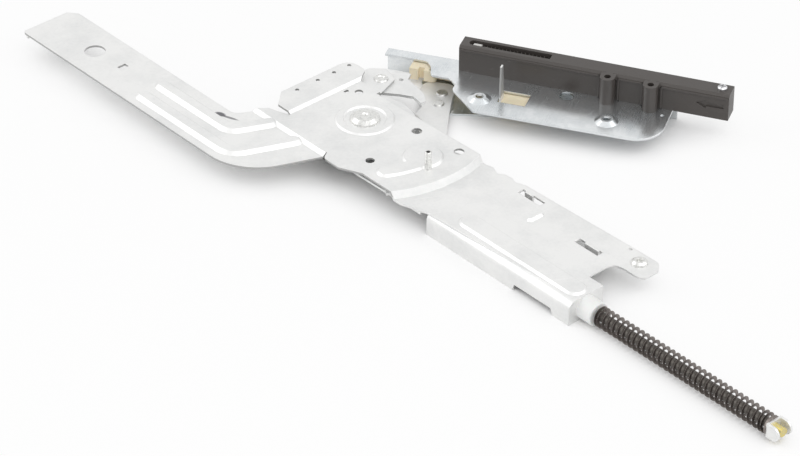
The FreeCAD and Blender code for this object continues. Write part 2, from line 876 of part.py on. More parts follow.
# Back plate: the sheet under the boss plate, with a lower tail whose tabs reach the spring plate's slots
def back_plate():
    sheet = plate("back sheet", back_low, S.sheet_thick, [
        (-28.0, -33.0),
        (-12.0, -S.boss_front + 3.0),
        (40.0, -S.boss_front + 3.0),
        (pan_start + S.sheet_thick, -S.boss_front + 4.0),
        (pan_start + S.sheet_thick, S.plate_back - 6.0),
        (boss_radius - 11.0, S.boss_back - 2.0),
        (boss_radius - 11.0, 3.0),
        (-28.0, 3.0),
    ])
    hub = cylinder(S.hub_radius - 2.4, S.sheet_thick, 0, 0, back_low)
    tabs = []
    for x, y, first, last in TAB_SLOTS:
        tabs.append(block(first, last, y + 0.6, y + 0.6 + S.sheet_thick, S.pan_low, S.plate_top + 0.4))
    wall = block(pan_start, pan_start + S.sheet_thick, -S.pan_front, S.plate_back - 6.0,
                 S.pan_low, plate_low)
    pan = block(pan_start, S.pan_end, -S.pan_front, S.plate_back - 4.0, S.pan_low, pan_top)
    rest = S.door_angle.value + S.crank_angle.value
    path = [sweep_round(0, 0, S.crank_radius.value, rest - 31.0, rest + 61.0)]
    slot = doc.addObject("Part::Feature", "CrankSlot")
    half_width = S.crank_pin_radius.value + 0.7
    face = Part.Face(band_wire(path, half_width, back_low.value - 1.0))
    slot.Shape = face.extrude(Vector(0, 0, S.sheet_thick.value + 2.0))
    bore = cylinder(S.pivot_radius, 10.0, 0, 0, back_low - 2.0)
    name_node("back_plate", cut(join(sheet, hub, wall, pan, *tabs), slot, bore))


# Fixed fasteners, pins and bushes
def main_pivot():
    low = back_low - 1.6
    seat = S.boss_top
    head = S.pivot_head_radius
    name_node("main_pivot", turned("main pivot", [
        (0, low),
        (S.pivot_radius + 2.6, low),
        (S.pivot_radius + 2.6, back_low),
        (S.pivot_radius, back_low),
        (S.pivot_radius, seat),
        (head, seat),
        (head - 0.4, seat + S.pivot_head_height * 0.35),
        (head - 3.0, seat + S.pivot_head_height * 0.85),
        (head - 5.6, seat + S.pivot_head_height),
        (2.2, seat + S.pivot_head_height),
        (1.4, seat + S.pivot_head_height - 0.8),
        (0, seat + S.pivot_head_height - 0.8),
    ]))


def pivot_bush():
    outer = S.pivot_radius + S.bush_wall
    name_node("pivot_bush", turned("pivot bush", [
        (S.pivot_radius, plate_low),
        (outer, plate_low),
        (outer, boss_low),
        (S.pivot_radius, boss_low),
    ]))


def stop_pin():
    top = boss_low + S.sheet_thick + S.pin_height
    name_node("stop_pin", turned("stop pin", [
        (S.pin_bore, boss_low),
        (S.pin_radius, boss_low),
        (S.pin_radius, top - 0.4),
        (S.pin_radius - 0.3, top),
        (S.pin_bore, top),
    ], S.pin_x, -S.pin_y))


def cam_rivet():
    low = lug_low - 3.0
    radius = S.lug_rivet_radius
    name_node("cam_rivet", turned("cam rivet", [
        (0, low),
        (radius + 1.6, low),
        (radius + 1.6, low + 1.2),
        (radius, low + 1.2),
        (radius, S.lug_top),
        (radius + 1.9, S.lug_top),
        (radius + 1.3, S.lug_top + 0.9),
        (radius - 0.4, S.lug_top + 0.9),
        (radius - 1.0, S.lug_top + 0.3),
        (0, S.lug_top + 0.3),
    ], -S.lug_x, S.lug_y))


def ear_rivet():
    radius = S.ear_rivet_radius
    name_node("ear_rivet", turned("ear rivet", [
        (0, plate_low - 1.4),
        (radius + 1.8, plate_low - 1.4),
        (radius + 1.8, plate_low),
        (radius, plate_low),
        (radius, S.plate_top),
        (radius + 2.9, S.plate_top),
        (radius + 2.5, S.plate_top + 1.3),
        (radius + 0.9, S.plate_top + 2.4),
        (radius - 0.6, S.plate_top + 2.2),
        (radius - 1.2, S.plate_top + 0.4),
        (0, S.plate_top + 0.4),
    ], S.ear_x, S.ear_y))


def slider_cam():
    """The plate under the lug whose finger reaches towards the slider."""
    thick = 1.8
    low = lug_low - thick
    body = plate("cam plate", low, thick, [
        (-S.lug_x - 11.0, S.lug_y - 1.0),
        (-S.lug_x + 4.0, S.lug_y - 9.5),
        (-S.lug_x + 11.0, S.lug_y - 9.5),
        (-S.lug_x + 20.0, S.lug_y - 2.0),
        (-S.lug_x + 28.5, S.lug_y + 3.0),
        (-S.lug_x + 37.5, S.lug_y + 1.5),
        (-S.lug_x + 38.0, S.lug_y + 5.5),
        (-S.lug_x + 31.0, S.lug_y + 10.5),
        (-S.lug_x + 10.5, S.lug_y + 14.5),
        (-S.lug_x + 7.0, S.lug_y + 20.0),
        (-S.lug_x + 2.5, S.lug_y + 19.0),
        (-S.lug_x - 1.0, S.lug_y + 11.0),
        (-S.lug_x - 8.0, S.lug_y + 9.0),
    ], [(-S.lug_x, S.lug_y, S.lug_rivet_radius), (-S.lug_x + 8.0, S.lug_y + 10.6, 1.5)])
    name_node("slider_cam", body)


def rod_bush():
    spigot = S.bush_spigot
    bore = S.rod_radius + S.running_fit
    name_node("rod_bush", turned_along("rod bush", [
        (-5.0, bore),
        (S.bush_length, bore),
        (S.bush_length, S.bush_radius - 0.5),
        (S.bush_length - 0.8, S.bush_radius),
        (0, S.bush_radius),
        (0, spigot),
        (-5.0, spigot),
    ], S.housing_end, -rod_y, S.rod_z))


# Door lever: the hub and its sector in the cavity, and the outer part one step lower
def door_lever():
    hub = cylinder(S.hub_radius, S.lever_thick, 0, 0, hub_low)

    sector = doc.addObject("Part::Cylinder", "Sector")
    bind(sector, "Radius", S.sector_radius)
    bind(sector, "Height", S.lever_thick)
    bind(sector, "Angle", S.sector_end - S.sector_start)
    sector.Placement = Placement(Vector(0, 0, hub_low.value), Rotation(Vector(0, 0, 1), S.sector_start.value))
    sector.setExpression("Placement.Base.z", hub_low.text)

    step = Solid("lever step")
    sketch = step.sketch("XZ_Plane")
    drop = math.radians(90) - math.atan2(S.step_run.value, hub_top.value - outer_top.value)
    shift = S.lever_thick.value * math.tan(drop / 2)
    inner = S.hub_radius
    outer = S.hub_radius + S.step_run
    draw_outline(sketch, [
        (inner - 4.0, hub_low),
        (inner - shift, hub_low),
        (outer - shift, outer_low),
        (outer + 2.0, outer_low),
        (outer + 2.0, outer_top),
        (outer, outer_top),
        (inner, hub_top),
        (inner - 4.0, hub_top),
    ])
    step.revolve(sketch)
    wedge = doc.addObject("Part::Cylinder", "Wedge")
    bind(wedge, "Radius", outer + 10.0)
    bind(wedge, "Height", S.boss_top)
    bind(wedge, "Angle", S.step_end - S.step_start)
    wedge.Placement = Placement(Vector(0, 0, -1), Rotation(Vector(0, 0, 1), S.step_start.value))
    band = overlap(step, wedge)

    def on_step(angle):
        turn = math.radians(angle)
        radius = outer.value + 0.5
        return radius * math.cos(turn), radius * math.sin(turn)

    middle = 0.5 * (S.step_start.value + S.step_end.value)
    corners = [
        on_step(S.step_start.value),
        (50.5, 13.0),
        (46.0, 31.3),
        (42.2, 47.3),
        (38.8, 64.3),
        (36.6, 81.2),
        (15.6, 80.4),
        (14.8, 69.0),
        (22.4, 49.6),
        on_step(S.step_end.value),
        on_step(middle),
    ]
    rivets = [(x, y, S.rivet_radius) for x, y in LEVER_RIVETS]
    outer_plate = plate("lever plate", outer_low, S.lever_thick, corners, rivets)
    outer_plate.round_corners(7.0, [corners[5], corners[6]])
    outer_plate.round_corners(4.0, [corners[1]])
    lever = join(hub, sector, band, outer_plate)

    bore = cylinder(S.pivot_radius + S.bush_wall + S.running_fit, 20.0, 0, 0, hub_low - 5.0)
    crank_turn = math.radians(S.crank_angle.value)
    crank_x = S.crank_radius.value * math.cos(crank_turn)
    crank_y = S.crank_radius.value * math.sin(crank_turn)
    seat = cylinder(S.crank_pin_radius - 1.0, 20.0, crank_x, crank_y, hub_low - 5.0)
    window_turn = math.radians(0.5 * (S.sector_start.value + S.sector_end.value))
    window_reach = 0.5 * (S.hub_radius.value + S.sector_radius.value)
    window_x = window_reach * math.cos(window_turn)
    window_y = window_reach * math.sin(window_turn)
    window = cylinder(S.window_radius, 20.0, window_x, window_y, hub_low - 5.0)
    name_node("door_lever", cut(lever, bore, seat, window), door)


def lever_rivets():
    """The rivets that hold the bracket's floor under the lever, flush below."""
    radius = S.rivet_radius
    rivets = []
    for x, y in LEVER_RIVETS:
        rivets.append(turned("lever rivet", [
            (0, 0),
            (radius, 0),
            (radius, outer_top),
            (radius + 1.8, outer_top),
            (radius + 1.2, outer_top + 1.1),
            (0, outer_top + 1.1),
        ], x, y).body)
    both = doc.addObject("Part::Compound", "Rivets")
    both.Links = rivets
    doc.recompute()
    name_node("lever_rivets", both, door)


def crank_pin():
    turn = math.radians(S.crank_angle.value)
    low = S.rod_z - S.yoke_thick * 0.5 - 2.4
    radius = S.crank_pin_radius
    piece = turned("crank pin", [
        (0, low),
        (radius, low),
        (radius, hub_low),
        (radius - 1.0, hub_low),
        (radius - 1.0, hub_top),
        (0, hub_top),
    ])
    reach = Vector(S.crank_radius.value * math.cos(turn), S.crank_radius.value * math.sin(turn), 0)
    name_node("crank_pin", piece, door.multiply(Placement(reach, Rotation())))


def crank_clip():
    """The snap ring that keeps the rod's yoke on the crank pin."""
    turn = math.radians(S.crank_angle.value)
    low = S.rod_z - S.yoke_thick * 0.5 - 1.6
    radius = S.crank_pin_radius
    piece = turned("crank clip", [
        (radius, low),
        (radius + 3.0, low),
        (radius + 3.0, low + 1.0),
        (radius, low + 1.0),
    ])
    reach = Vector(S.crank_radius.value * math.cos(turn), S.crank_radius.value * math.sin(turn), 0)
    name_node("crank_clip", piece, door.multiply(Placement(reach, Rotation())))


# Tie rod with its yoke, and what sits on its far end
def crank_rest():
    """Gives where the crank pin stands along X when the hinge rests."""
    turn = math.radians(S.door_angle.value + S.crank_angle.value)
    return S.crank_radius.value * math.cos(turn)


def tie_rod():
    middle = crank_rest()
    low = S.rod_z - S.yoke_thick * 0.5
    slot_width = (S.crank_pin_radius + S.yoke_side_play) * 2.0
    slot_length = S.crank_pin_radius * 2.0 + S.yoke_travel
    yoke = plate("yoke", low, S.yoke_thick, [
        (middle - S.yoke_half_width, -rod_y - S.yoke_half_length * 0.8),
        (middle + S.yoke_half_width, -rod_y - S.yoke_half_length * 0.8),
        (middle + S.yoke_half_width, -rod_y + S.yoke_half_length * 0.8),
        (middle - S.yoke_half_width, -rod_y + S.yoke_half_length * 0.8),
    ], (), [(middle, -rod_y, slot_width, slot_length)])
    yoke.round_corners(4.0, [
        (middle - S.yoke_half_width, -rod_y - S.yoke_half_length * 0.8),
        (middle - S.yoke_half_width, -rod_y + S.yoke_half_length * 0.8),
    ])
    start = middle + S.yoke_half_width - 2.0
    rod = cylinder(S.rod_radius, S.rod_end_x + S.end_clip_length - start - 1.5, start, -rod_y, S.rod_z,
                   Rotation(Vector(0, 1, 0), 90))
    name_node("tie_rod", join(yoke, rod))


def spring_seat():
    name_node("spring_seat", turned_along("spring seat", [
        (0, S.rod_radius + 0.05),
        (S.seat_thick, S.rod_radius + 0.05),
        (S.seat_thick, S.spring_radius - 0.2),
        (0, S.spring_radius - 0.2),
    ], S.rod_end_x - S.seat_thick, -rod_y, S.rod_z))


def rod_end():
    """The bent clip that holds the washer on the rod's end."""
    wide = S.end_clip_half_width
    high = S.end_clip_half_height
    start = S.rod_end_x
    round_x = start + S.end_clip_length - high
    low, top = S.rod_z - high, S.rod_z + high
    web = block(start, start + S.sheet_thick, -rod_y - wide, -rod_y + wide, low, top)
    arms = []
    for front in (-rod_y - wide, -rod_y + wide - S.sheet_thick):
        arms.append(block(start, round_x, front, front + S.sheet_thick, low, top))
        arms.append(cylinder(high, S.sheet_thick, round_x, front + S.sheet_thick, S.rod_z,
                             Rotation(Vector(1, 0, 0), 90)))
    bore = cylinder(S.rod_radius, 40.0, start - 10.0, -rod_y, S.rod_z, Rotation(Vector(0, 1, 0), 90))
    name_node("rod_end", cut(join(web, *arms), bore))


def coil(label, radius, wire, pitch, length, sides, steps, x, y, z, placement=None):
    """Winds a spring along X, with closed end turns, as a ruled loft through wire sections."""
    radius, wire, pitch = as_size(radius).value, as_size(wire).value, as_size(pitch).value
    length = as_size(length).value
    closed = S.closed_turns.value
    close_pitch = wire * 2.02
    turns = (length - 2 * closed * close_pitch) / pitch + 2 * closed
    count = int(round(turns * steps))

    def reach(turn):
        """Gives how far along the axis a turn has come, slowly over the closed turns."""
        near = min(turn, closed)
        open_part = min(max(turn - closed, 0.0), turns - 2 * closed)
        far = max(turn - (turns - closed), 0.0)
        return (near + far) * close_pitch + open_part * pitch

    sections = []
    for index in range(count + 1):
        turn = turns * index / count
        angle = 2 * math.pi * turn
        points = []
        for side in range(sides):
            lean = 2 * math.pi * side / sides
            out = radius + wire * math.cos(lean)
            along = reach(turn) + wire * math.sin(lean)
            points.append(Vector(along, out * math.cos(angle), out * math.sin(angle)))
        sections.append(Part.makePolygon(points + [points[0]]))
    spring = doc.addObject("Part::Feature", "Coil")
    spring.Shape = Part.makeLoft(sections, True, True)
    place = Placement(Vector(as_size(x).value, as_size(y).value, as_size(z).value), Rotation())
    if placement is not None:
        place = placement.multiply(place)
    name_node(label, spring, place)


def main_spring():
    start = S.housing_end + S.bush_length + S.wire_radius + 0.1
    end = S.rod_end_x - S.seat_thick - S.wire_radius - 0.1
    coil("main_spring", S.spring_radius - S.wire_radius, S.wire_radius, S.spring_pitch, end - start,
         6, 14, start, -rod_y, S.rod_z)


# Door bracket: a channel whose long sheet carries the domes, the guide slot and the rail
def door_channel():
    corners = [
        (S.channel_start, S.channel_back),
        (S.channel_start, S.channel_back - 7.6),
        (14.2, S.channel_back - 7.6),
        (18.5, 81.8),
        (21.5, 71.5),
        (35.0, 71.5),
        (40.5, 65.0),
        (40.1, 59.5),
        (60.5, S.channel_front),
        (S.channel_end, S.channel_front),
        (S.channel_end, S.channel_back),
    ]
    circles = [
        (113.5, 74.3, 4.8),
        (S.channel_end - 4.8, 71.0, 1.3),
    ]
    guide = (
        (S.guide_start + S.guide_end) * 0.5,
        (S.guide_front + S.guide_back) * 0.5,
        S.guide_end - S.guide_start,
        S.guide_back - S.guide_front,
    )
    top = plate("channel top", channel_low, S.sheet_thick, corners, circles, [guide])
    top.round_corners(S.channel_round, [corners[9]])
    top.round_corners(3.5, [corners[2], corners[4], corners[5], corners[7]])

    wall = block(S.channel_start, S.channel_end, S.channel_back - S.sheet_thick, S.channel_back,
                 floor_low, S.channel_top)
    floor_corners = [
        (12.0, S.channel_back),
        (12.0, 81.0),
        (18.0, 76.0),
        (17.5, 70.0),
        (24.0, 52.5),
        (27.0, 47.2),
        (60.7, 56.5),
        (78.0, S.channel_floor_front),
        (S.channel_end - S.floor_short, S.channel_floor_front),
        (S.channel_end - S.floor_short, S.channel_back),
    ]
    rivets = [(x, y, S.rivet_radius) for x, y in LEVER_RIVETS]
    floor = plate("channel floor", floor_low, S.sheet_thick, floor_corners, rivets)
    floor.round_corners(12.0, [floor_corners[8]])
    floor.round_corners(3.0, [floor_corners[1], floor_corners[4], floor_corners[5]])

    domes = []
    hollows = []
    for x in (S.dome_near, S.dome_far):
        crown = S.dome_radius - S.dome_rise * 1.6
        domes.append(cone(S.dome_radius, crown, S.dome_rise, x, S.dome_row, S.channel_top))
        hollows.append(cone(S.dome_radius, crown, S.dome_rise, x, S.dome_row, channel_low))
        hollows.append(cylinder(S.thread_radius, 20.0, x, S.dome_row, channel_low - 5.0))
    screws = []
    for x in (S.post_near, S.post_far):
        spot = rail_point(x, -S.post_reach + S.post_radius * 0.1)
        screws.append(cylinder(S.post_bore, 4.0, spot[0], spot[1], channel_low - 1.0))
    name_node("door_channel", cut(join(top, wall, floor, *domes), *hollows, *screws), door)


def rail_point(along, across):
    """Turns a place on the rail, along and across it, into the door's frame."""
    yaw = math.radians(S.rail_yaw.value)
    along = as_size(along).value
    across = as_size(across).value
    x = S.rail_start.value + along * math.cos(yaw) - across * math.sin(yaw)
    y = S.rail_front.value + along * math.sin(yaw) + across * math.cos(yaw)
    return x, y


# Rail: a moulded block with a spring slot, two screw posts and a clamp screw
rail_place = door.multiply(Placement(
    Vector(S.rail_start.value, S.rail_front.value, S.channel_top.value),
    Rotation(Vector(0, 0, 1), S.rail_yaw.value),
))


def rail_housing():
    body = Solid("rail block")
    sketch = body.sketch("YZ_Plane", 0)
    draw_outline(sketch, [
        (0, 0),
        (S.rail_depth, 0),
        (S.rail_depth, S.rail_height - 0.8),
        (S.rail_depth - 0.8, S.rail_height),
        (S.rail_bevel, S.rail_height),
        (0, S.rail_height - S.rail_bevel),
    ])
    body.pad(sketch, S.rail_length)

    middle = S.rail_depth * 0.5 + 0.4
    half = S.rail_slot_width * 0.5
    slot_low = S.rail_height - S.rail_slot_depth
    slot = block(S.rail_slot_start + half, S.rail_slot_end, middle - half, middle + half,
                 slot_low, S.rail_height + 1.0)
    slot_end = cylinder(half, S.rail_slot_depth + 1.0, S.rail_slot_start + half, middle, slot_low)
    posts = []
    bores = []
    for along in (S.post_near, S.post_far):
        centre = -S.post_reach + S.post_radius * 0.1
        posts.append(cylinder(S.post_radius, S.rail_height, along, centre, 0))
        posts.append(block(along - S.post_radius, along + S.post_radius, centre, 1.0,
                           S.rail_height - 2.2, S.rail_height))
        posts.append(block(along - S.post_radius * 0.55, along + S.post_radius * 0.55, centre, 1.0,
                           0, S.rail_height))
        bores.append(cylinder(S.post_bore, S.rail_height + 2.0, along, centre, -1.0))
    clamp = cylinder(S.clamp_shank_radius, 12.0, S.rail_length - 6.5, middle, S.rail_height - 10.0)

    arrow = Solid("arrow")
    sketch = arrow.sketch("XZ_Plane", -1.0)
    low = S.rail_height * 0.52
    tip = S.rail_length - 21.7
    draw_outline(sketch, [
        (tip, low),
        (tip + 6.5, low - 3.2),
        (tip + 6.5, low - 1.6),
        (tip + 18.4, low - 1.6),
        (tip + 18.4, low + 1.6),
        (tip + 6.5, low + 1.6),
        (tip + 6.5, low + 3.2),
    ])
    arrow.pad(sketch, 5.0)
    shape = cut(join(body, *posts), slot, slot_end, clamp, arrow, *bores)
    name_node("rail_housing", shape, rail_place)


def rail_screws():
    """The two screws that come up through the channel into the posts."""
    heads = []
    for along in (S.post_near, S.post_far):
        centre = -S.post_reach + S.post_radius * 0.1
        heads.append(cylinder(S.post_bore + 2.0, 1.8, along, centre, -S.sheet_thick - 1.8))
        heads.append(cylinder(S.post_bore, S.sheet_thick + 11.0, along, centre, -S.sheet_thick - 0.1))
    pairs = [join(heads[0], heads[1]), join(heads[2], heads[3])]
    both = doc.addObject("Part::Compound", "Screws")
    both.Links = pairs
    doc.recompute()
    name_node("rail_screws", both, rail_place)


def clamp_screw():
    radius = S.clamp_head_radius
    shank = S.clamp_shank_radius
    top = S.rail_height
    middle = S.rail_depth * 0.5 + 0.4
    body = turned("clamp screw", [
        (0, top - 9.5),
        (shank, top - 9.5),
        (shank, top),
        (radius, top),
        (radius, top + 1.3),
        (radius - 0.9, top + 2.2),
        (0, top + 2.4),
    ])
    slots = []
    for length, width in ((radius * 1.3, 0.7), (0.7, radius * 1.3)):
        length, width = as_size(length), as_size(width)
        slots.append(block(-length * 0.5, length * 0.5, -width * 0.5, width * 0.5, top + 1.2, top + 4.0))
    screw = cut(body, *slots)
    place = Placement(Vector(S.rail_length.value - 6.5, middle.value, 0), Rotation())
    name_node("clamp_screw", screw, rail_place.multiply(place))


def rail_plunger():
    """The plastic plunger in the rail's slot, pushed by the small spring."""
    middle = S.rail_depth * 0.5 + 0.4
    height = S.rail_height - S.rail_slot_depth + S.plunger_radius + 0.6
    piece = turned_along("rail plunger", [
        (0, 0),
        (0, S.plunger_radius - 0.6),
        (0.6, S.plunger_radius),
        (S.plunger_length, S.plunger_radius),
        (S.plunger_length, S.plunger_radius - 1.2),
        (S.plunger_length + 5.0, S.plunger_radius - 1.2),
        (S.plunger_length + 5.0, 0),
    ], 0, 0, 0)
    place = Placement(Vector(S.rail_slot_start.value + 2.5, middle.value, height.value), Rotation())
    name_node("rail_plunger", piece, rail_place.multiply(place))


def rail_spring():
    middle = S.rail_depth * 0.5 + 0.4
    height = S.rail_height - S.rail_slot_depth + S.plunger_radius + 0.6
    start = S.rail_slot_start + 2.5 + S.plunger_length + S.small_wire + 0.1
    length = S.rail_slot_end - start - S.small_wire - 0.3
    coil("rail_spring", S.plunger_radius - S.small_wire, S.small_wire, S.small_pitch, length,
         4, 10, start, middle, height, rail_place)


# Slider that runs in the channel, with the blade that stands up through the guide slot
def slider():
    low = S.slider_floor
    height = S.slider_top - low
    back = S.channel_back - S.sheet_thick - S.slider_play
    bar_front = back - 9.0
    tooth_front = back - 14.0
    blade_x = S.guide_start + 0.6
    sketch_points = [
        (4.5, tooth_front),
        (10.5, tooth_front),
        (10.5, tooth_front + 3.4),
        (14.5, tooth_front + 3.4),
        (14.5, tooth_front),
        (22.5, tooth_front),
        (22.5, bar_front),
        (blade_x - 4.0, bar_front),
        (blade_x - 4.0, S.guide_front + 1.5),
        (S.guide_end + 2.0, S.guide_front + 1.5),
        (S.guide_end + 3.5, S.guide_front + 6.0),
        (S.guide_end + 3.5, back),
        (4.5, back),
    ]
    block_body = plate("slider block", low, height, sketch_points, [(19.0, tooth_front + 2.4, 1.2)])
    block_body.round_corners(2.0, [sketch_points[5], sketch_points[8]])
    slot = block(blade_x, blade_x + S.blade_thick, S.guide_front + 2.5, S.guide_front + 9.5,
                 low + 3.0, S.slider_top + 1.0)
    name_node("slider_block", cut(block_body, slot), door)

    blade = Solid("slider blade")
    sketch = blade.sketch("YZ_Plane", blade_x)
    front = S.guide_front + 2.5
    top = S.channel_top + S.blade_height
    draw_outline(sketch, [
        (front, low + 3.0),
        (front + 7.0, low + 3.0),
        (front + 7.0, S.channel_top + 3.0),
        (front + 5.0, top),
        (front + 1.5, top),
        (front, S.channel_top + 3.0),
    ])
    blade.pad(sketch, S.blade_thick)
    name_node("slider_blade", blade, door)


def build():
    front_plate()
    back_plate()
    main_pivot()
    pivot_bush()
    stop_pin()
    cam_rivet()
    ear_rivet()
    slider_cam()
    rod_bush()
    door_lever()
    lever_rivets()
    crank_pin()
    crank_clip()
    tie_rod()
    spring_seat()
    rod_end()
    main_spring()
    door_channel()
    rail_housing()
    rail_screws()
    clamp_screw()
    rail_plunger()
    rail_spring()
    slider()
    doc.recompute()


def check():
    """Stops where an object failed or a piece has no sound shape."""
    for thing in doc.Objects:
        if "Invalid" in thing.State or "Error" in thing.State:
            raise RuntimeError("%s (%s) failed: %s" % (thing.Name, thing.Label, thing.State))
    for label, piece in nodes.items():
        shape = piece.Shape
        if shape.isNull() or not shape.isValid():
            raise RuntimeError("%s has no sound shape" % label)


def export():
    os.makedirs("parts", exist_ok=True)
    for label, piece in nodes.items():
        shape = piece.Shape
        box = shape.BoundBox
        print("%-14s solids %d volume %9.1f  x %7.1f %7.1f  y %7.1f %7.1f  z %6.1f %6.1f" % (
            label, len(shape.Solids), shape.Volume, box.XMin, box.XMax, box.YMin, box.YMax, box.ZMin, box.ZMax))
        shape.exportStep(os.path.join("parts", label + ".step"))


build()
check()
export()
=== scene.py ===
"""Looks of a sheet-steel spring hinge: finishes for its pressed plates and moulded rail, and springs of round wire."""

import json
import logging
import math
from dataclasses import dataclass, field
from enum import Enum
from typing import Any, Iterable, Optional, Sequence, Union

import bmesh
import bpy
from mathutils import Matrix, Vector

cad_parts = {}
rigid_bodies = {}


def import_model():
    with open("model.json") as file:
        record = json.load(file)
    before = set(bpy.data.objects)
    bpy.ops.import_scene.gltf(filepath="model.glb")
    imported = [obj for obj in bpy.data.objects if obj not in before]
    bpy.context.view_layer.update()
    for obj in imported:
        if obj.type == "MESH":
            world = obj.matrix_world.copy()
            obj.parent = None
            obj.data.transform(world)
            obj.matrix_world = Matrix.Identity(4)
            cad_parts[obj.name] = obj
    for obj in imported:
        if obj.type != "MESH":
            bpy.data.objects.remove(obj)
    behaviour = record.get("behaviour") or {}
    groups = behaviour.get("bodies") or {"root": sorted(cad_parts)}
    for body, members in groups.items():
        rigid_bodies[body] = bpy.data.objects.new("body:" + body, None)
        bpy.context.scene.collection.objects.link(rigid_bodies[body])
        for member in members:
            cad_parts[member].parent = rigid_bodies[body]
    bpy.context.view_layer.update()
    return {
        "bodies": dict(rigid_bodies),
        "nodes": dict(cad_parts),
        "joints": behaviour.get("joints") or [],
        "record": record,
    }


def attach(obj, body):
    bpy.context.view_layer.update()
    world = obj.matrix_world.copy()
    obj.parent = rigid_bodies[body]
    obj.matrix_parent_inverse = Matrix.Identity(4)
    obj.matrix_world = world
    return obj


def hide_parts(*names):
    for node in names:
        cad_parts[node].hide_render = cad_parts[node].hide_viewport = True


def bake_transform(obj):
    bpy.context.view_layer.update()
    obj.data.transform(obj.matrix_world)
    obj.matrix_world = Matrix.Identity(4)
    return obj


log = logging.getLogger("spring_hinge")

MM = 0.001
IMAGE_WIDTH = 800
Number = Union[float, "Socket"]
Colour = tuple[float, float, float, float]


class Body(Enum):
    """The hinge's moving groups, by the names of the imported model."""

    FRAME = "frame"
    DOOR_ARM = "door_arm"
    ROD = "rod"
    SLIDER = "slider"
    PLUNGER = "plunger"


class Slot(Enum):
    """The record's material slots."""

    ZINC_SHEET = "zinc_sheet"
    BRACKET_SHEET = "bracket_sheet"
    RIVET_STEEL = "rivet_steel"
    BUSH_STEEL = "bush_steel"
    SCREW_STEEL = "screw_steel"
    SPRING_STEEL = "spring_steel"
    PASSIVATED_STEEL = "passivated_steel"
    WHITE_PLASTIC = "white_plastic"
    CREAM_PLASTIC = "cream_plastic"
    GREY_PLASTIC = "grey_plastic"
    BLACK_PLASTIC = "black_plastic"


class Socket:
    """One output of a shader node, on which arithmetic adds Math nodes."""

    def __init__(self, tree: bpy.types.NodeTree, output: bpy.types.NodeSocket) -> None:
        """Wraps an output.

        Args:
            tree: The material's node tree.
            output: The output that the wrapper stands for.
        """
        self.tree = tree
        self.output = output

    def _math(self, operation: str, first: Number, second: Number) -> "Socket":
        """Adds one Math node.

        Args:
            operation: The node's operation.
            first: Its first input, a number or a socket.
            second: Its second input, a number or a socket.

        Returns:
            The node's result.
        """
        node = self.tree.nodes.new("ShaderNodeMath")
        node.operation = operation
        for place, value in zip(node.inputs, (first, second)):
            if isinstance(value, Socket):
                self.tree.links.new(value.output, place)
            else:
                place.default_value = value
        return Socket(self.tree, node.outputs[0])

    def __add__(self, other: Number) -> "Socket":
        """Gives the sum."""
        return self._math("ADD", self, other)

    def __radd__(self, other: Number) -> "Socket":
        """Gives the sum, with the number first."""
        return self._math("ADD", other, self)

    def __sub__(self, other: Number) -> "Socket":
        """Gives the difference."""
        return self._math("SUBTRACT", self, other)

    def __rsub__(self, other: Number) -> "Socket":
        """Gives the difference, with the number first."""
        return self._math("SUBTRACT", other, self)

    def __mul__(self, other: Number) -> "Socket":
        """Gives the product."""
        return self._math("MULTIPLY", self, other)

    def __rmul__(self, other: Number) -> "Socket":
        """Gives the product, with the number first."""
        return self._math("MULTIPLY", other, self)

    def between(self, low: float, high: float) -> "Socket":
        """Spreads low to high over 0 to 1, and holds it there.

        Args:
            low: The value that becomes 0.
            high: The value that becomes 1.

        Returns:
            The spread value.
        """
        node = self.tree.nodes.new("ShaderNodeMapRange")
        node.clamp = True
        self.tree.links.new(self.output, node.inputs["Value"])
        node.inputs["From Min"].default_value = low
        node.inputs["From Max"].default_value = high
        return Socket(self.tree, node.outputs["Result"])


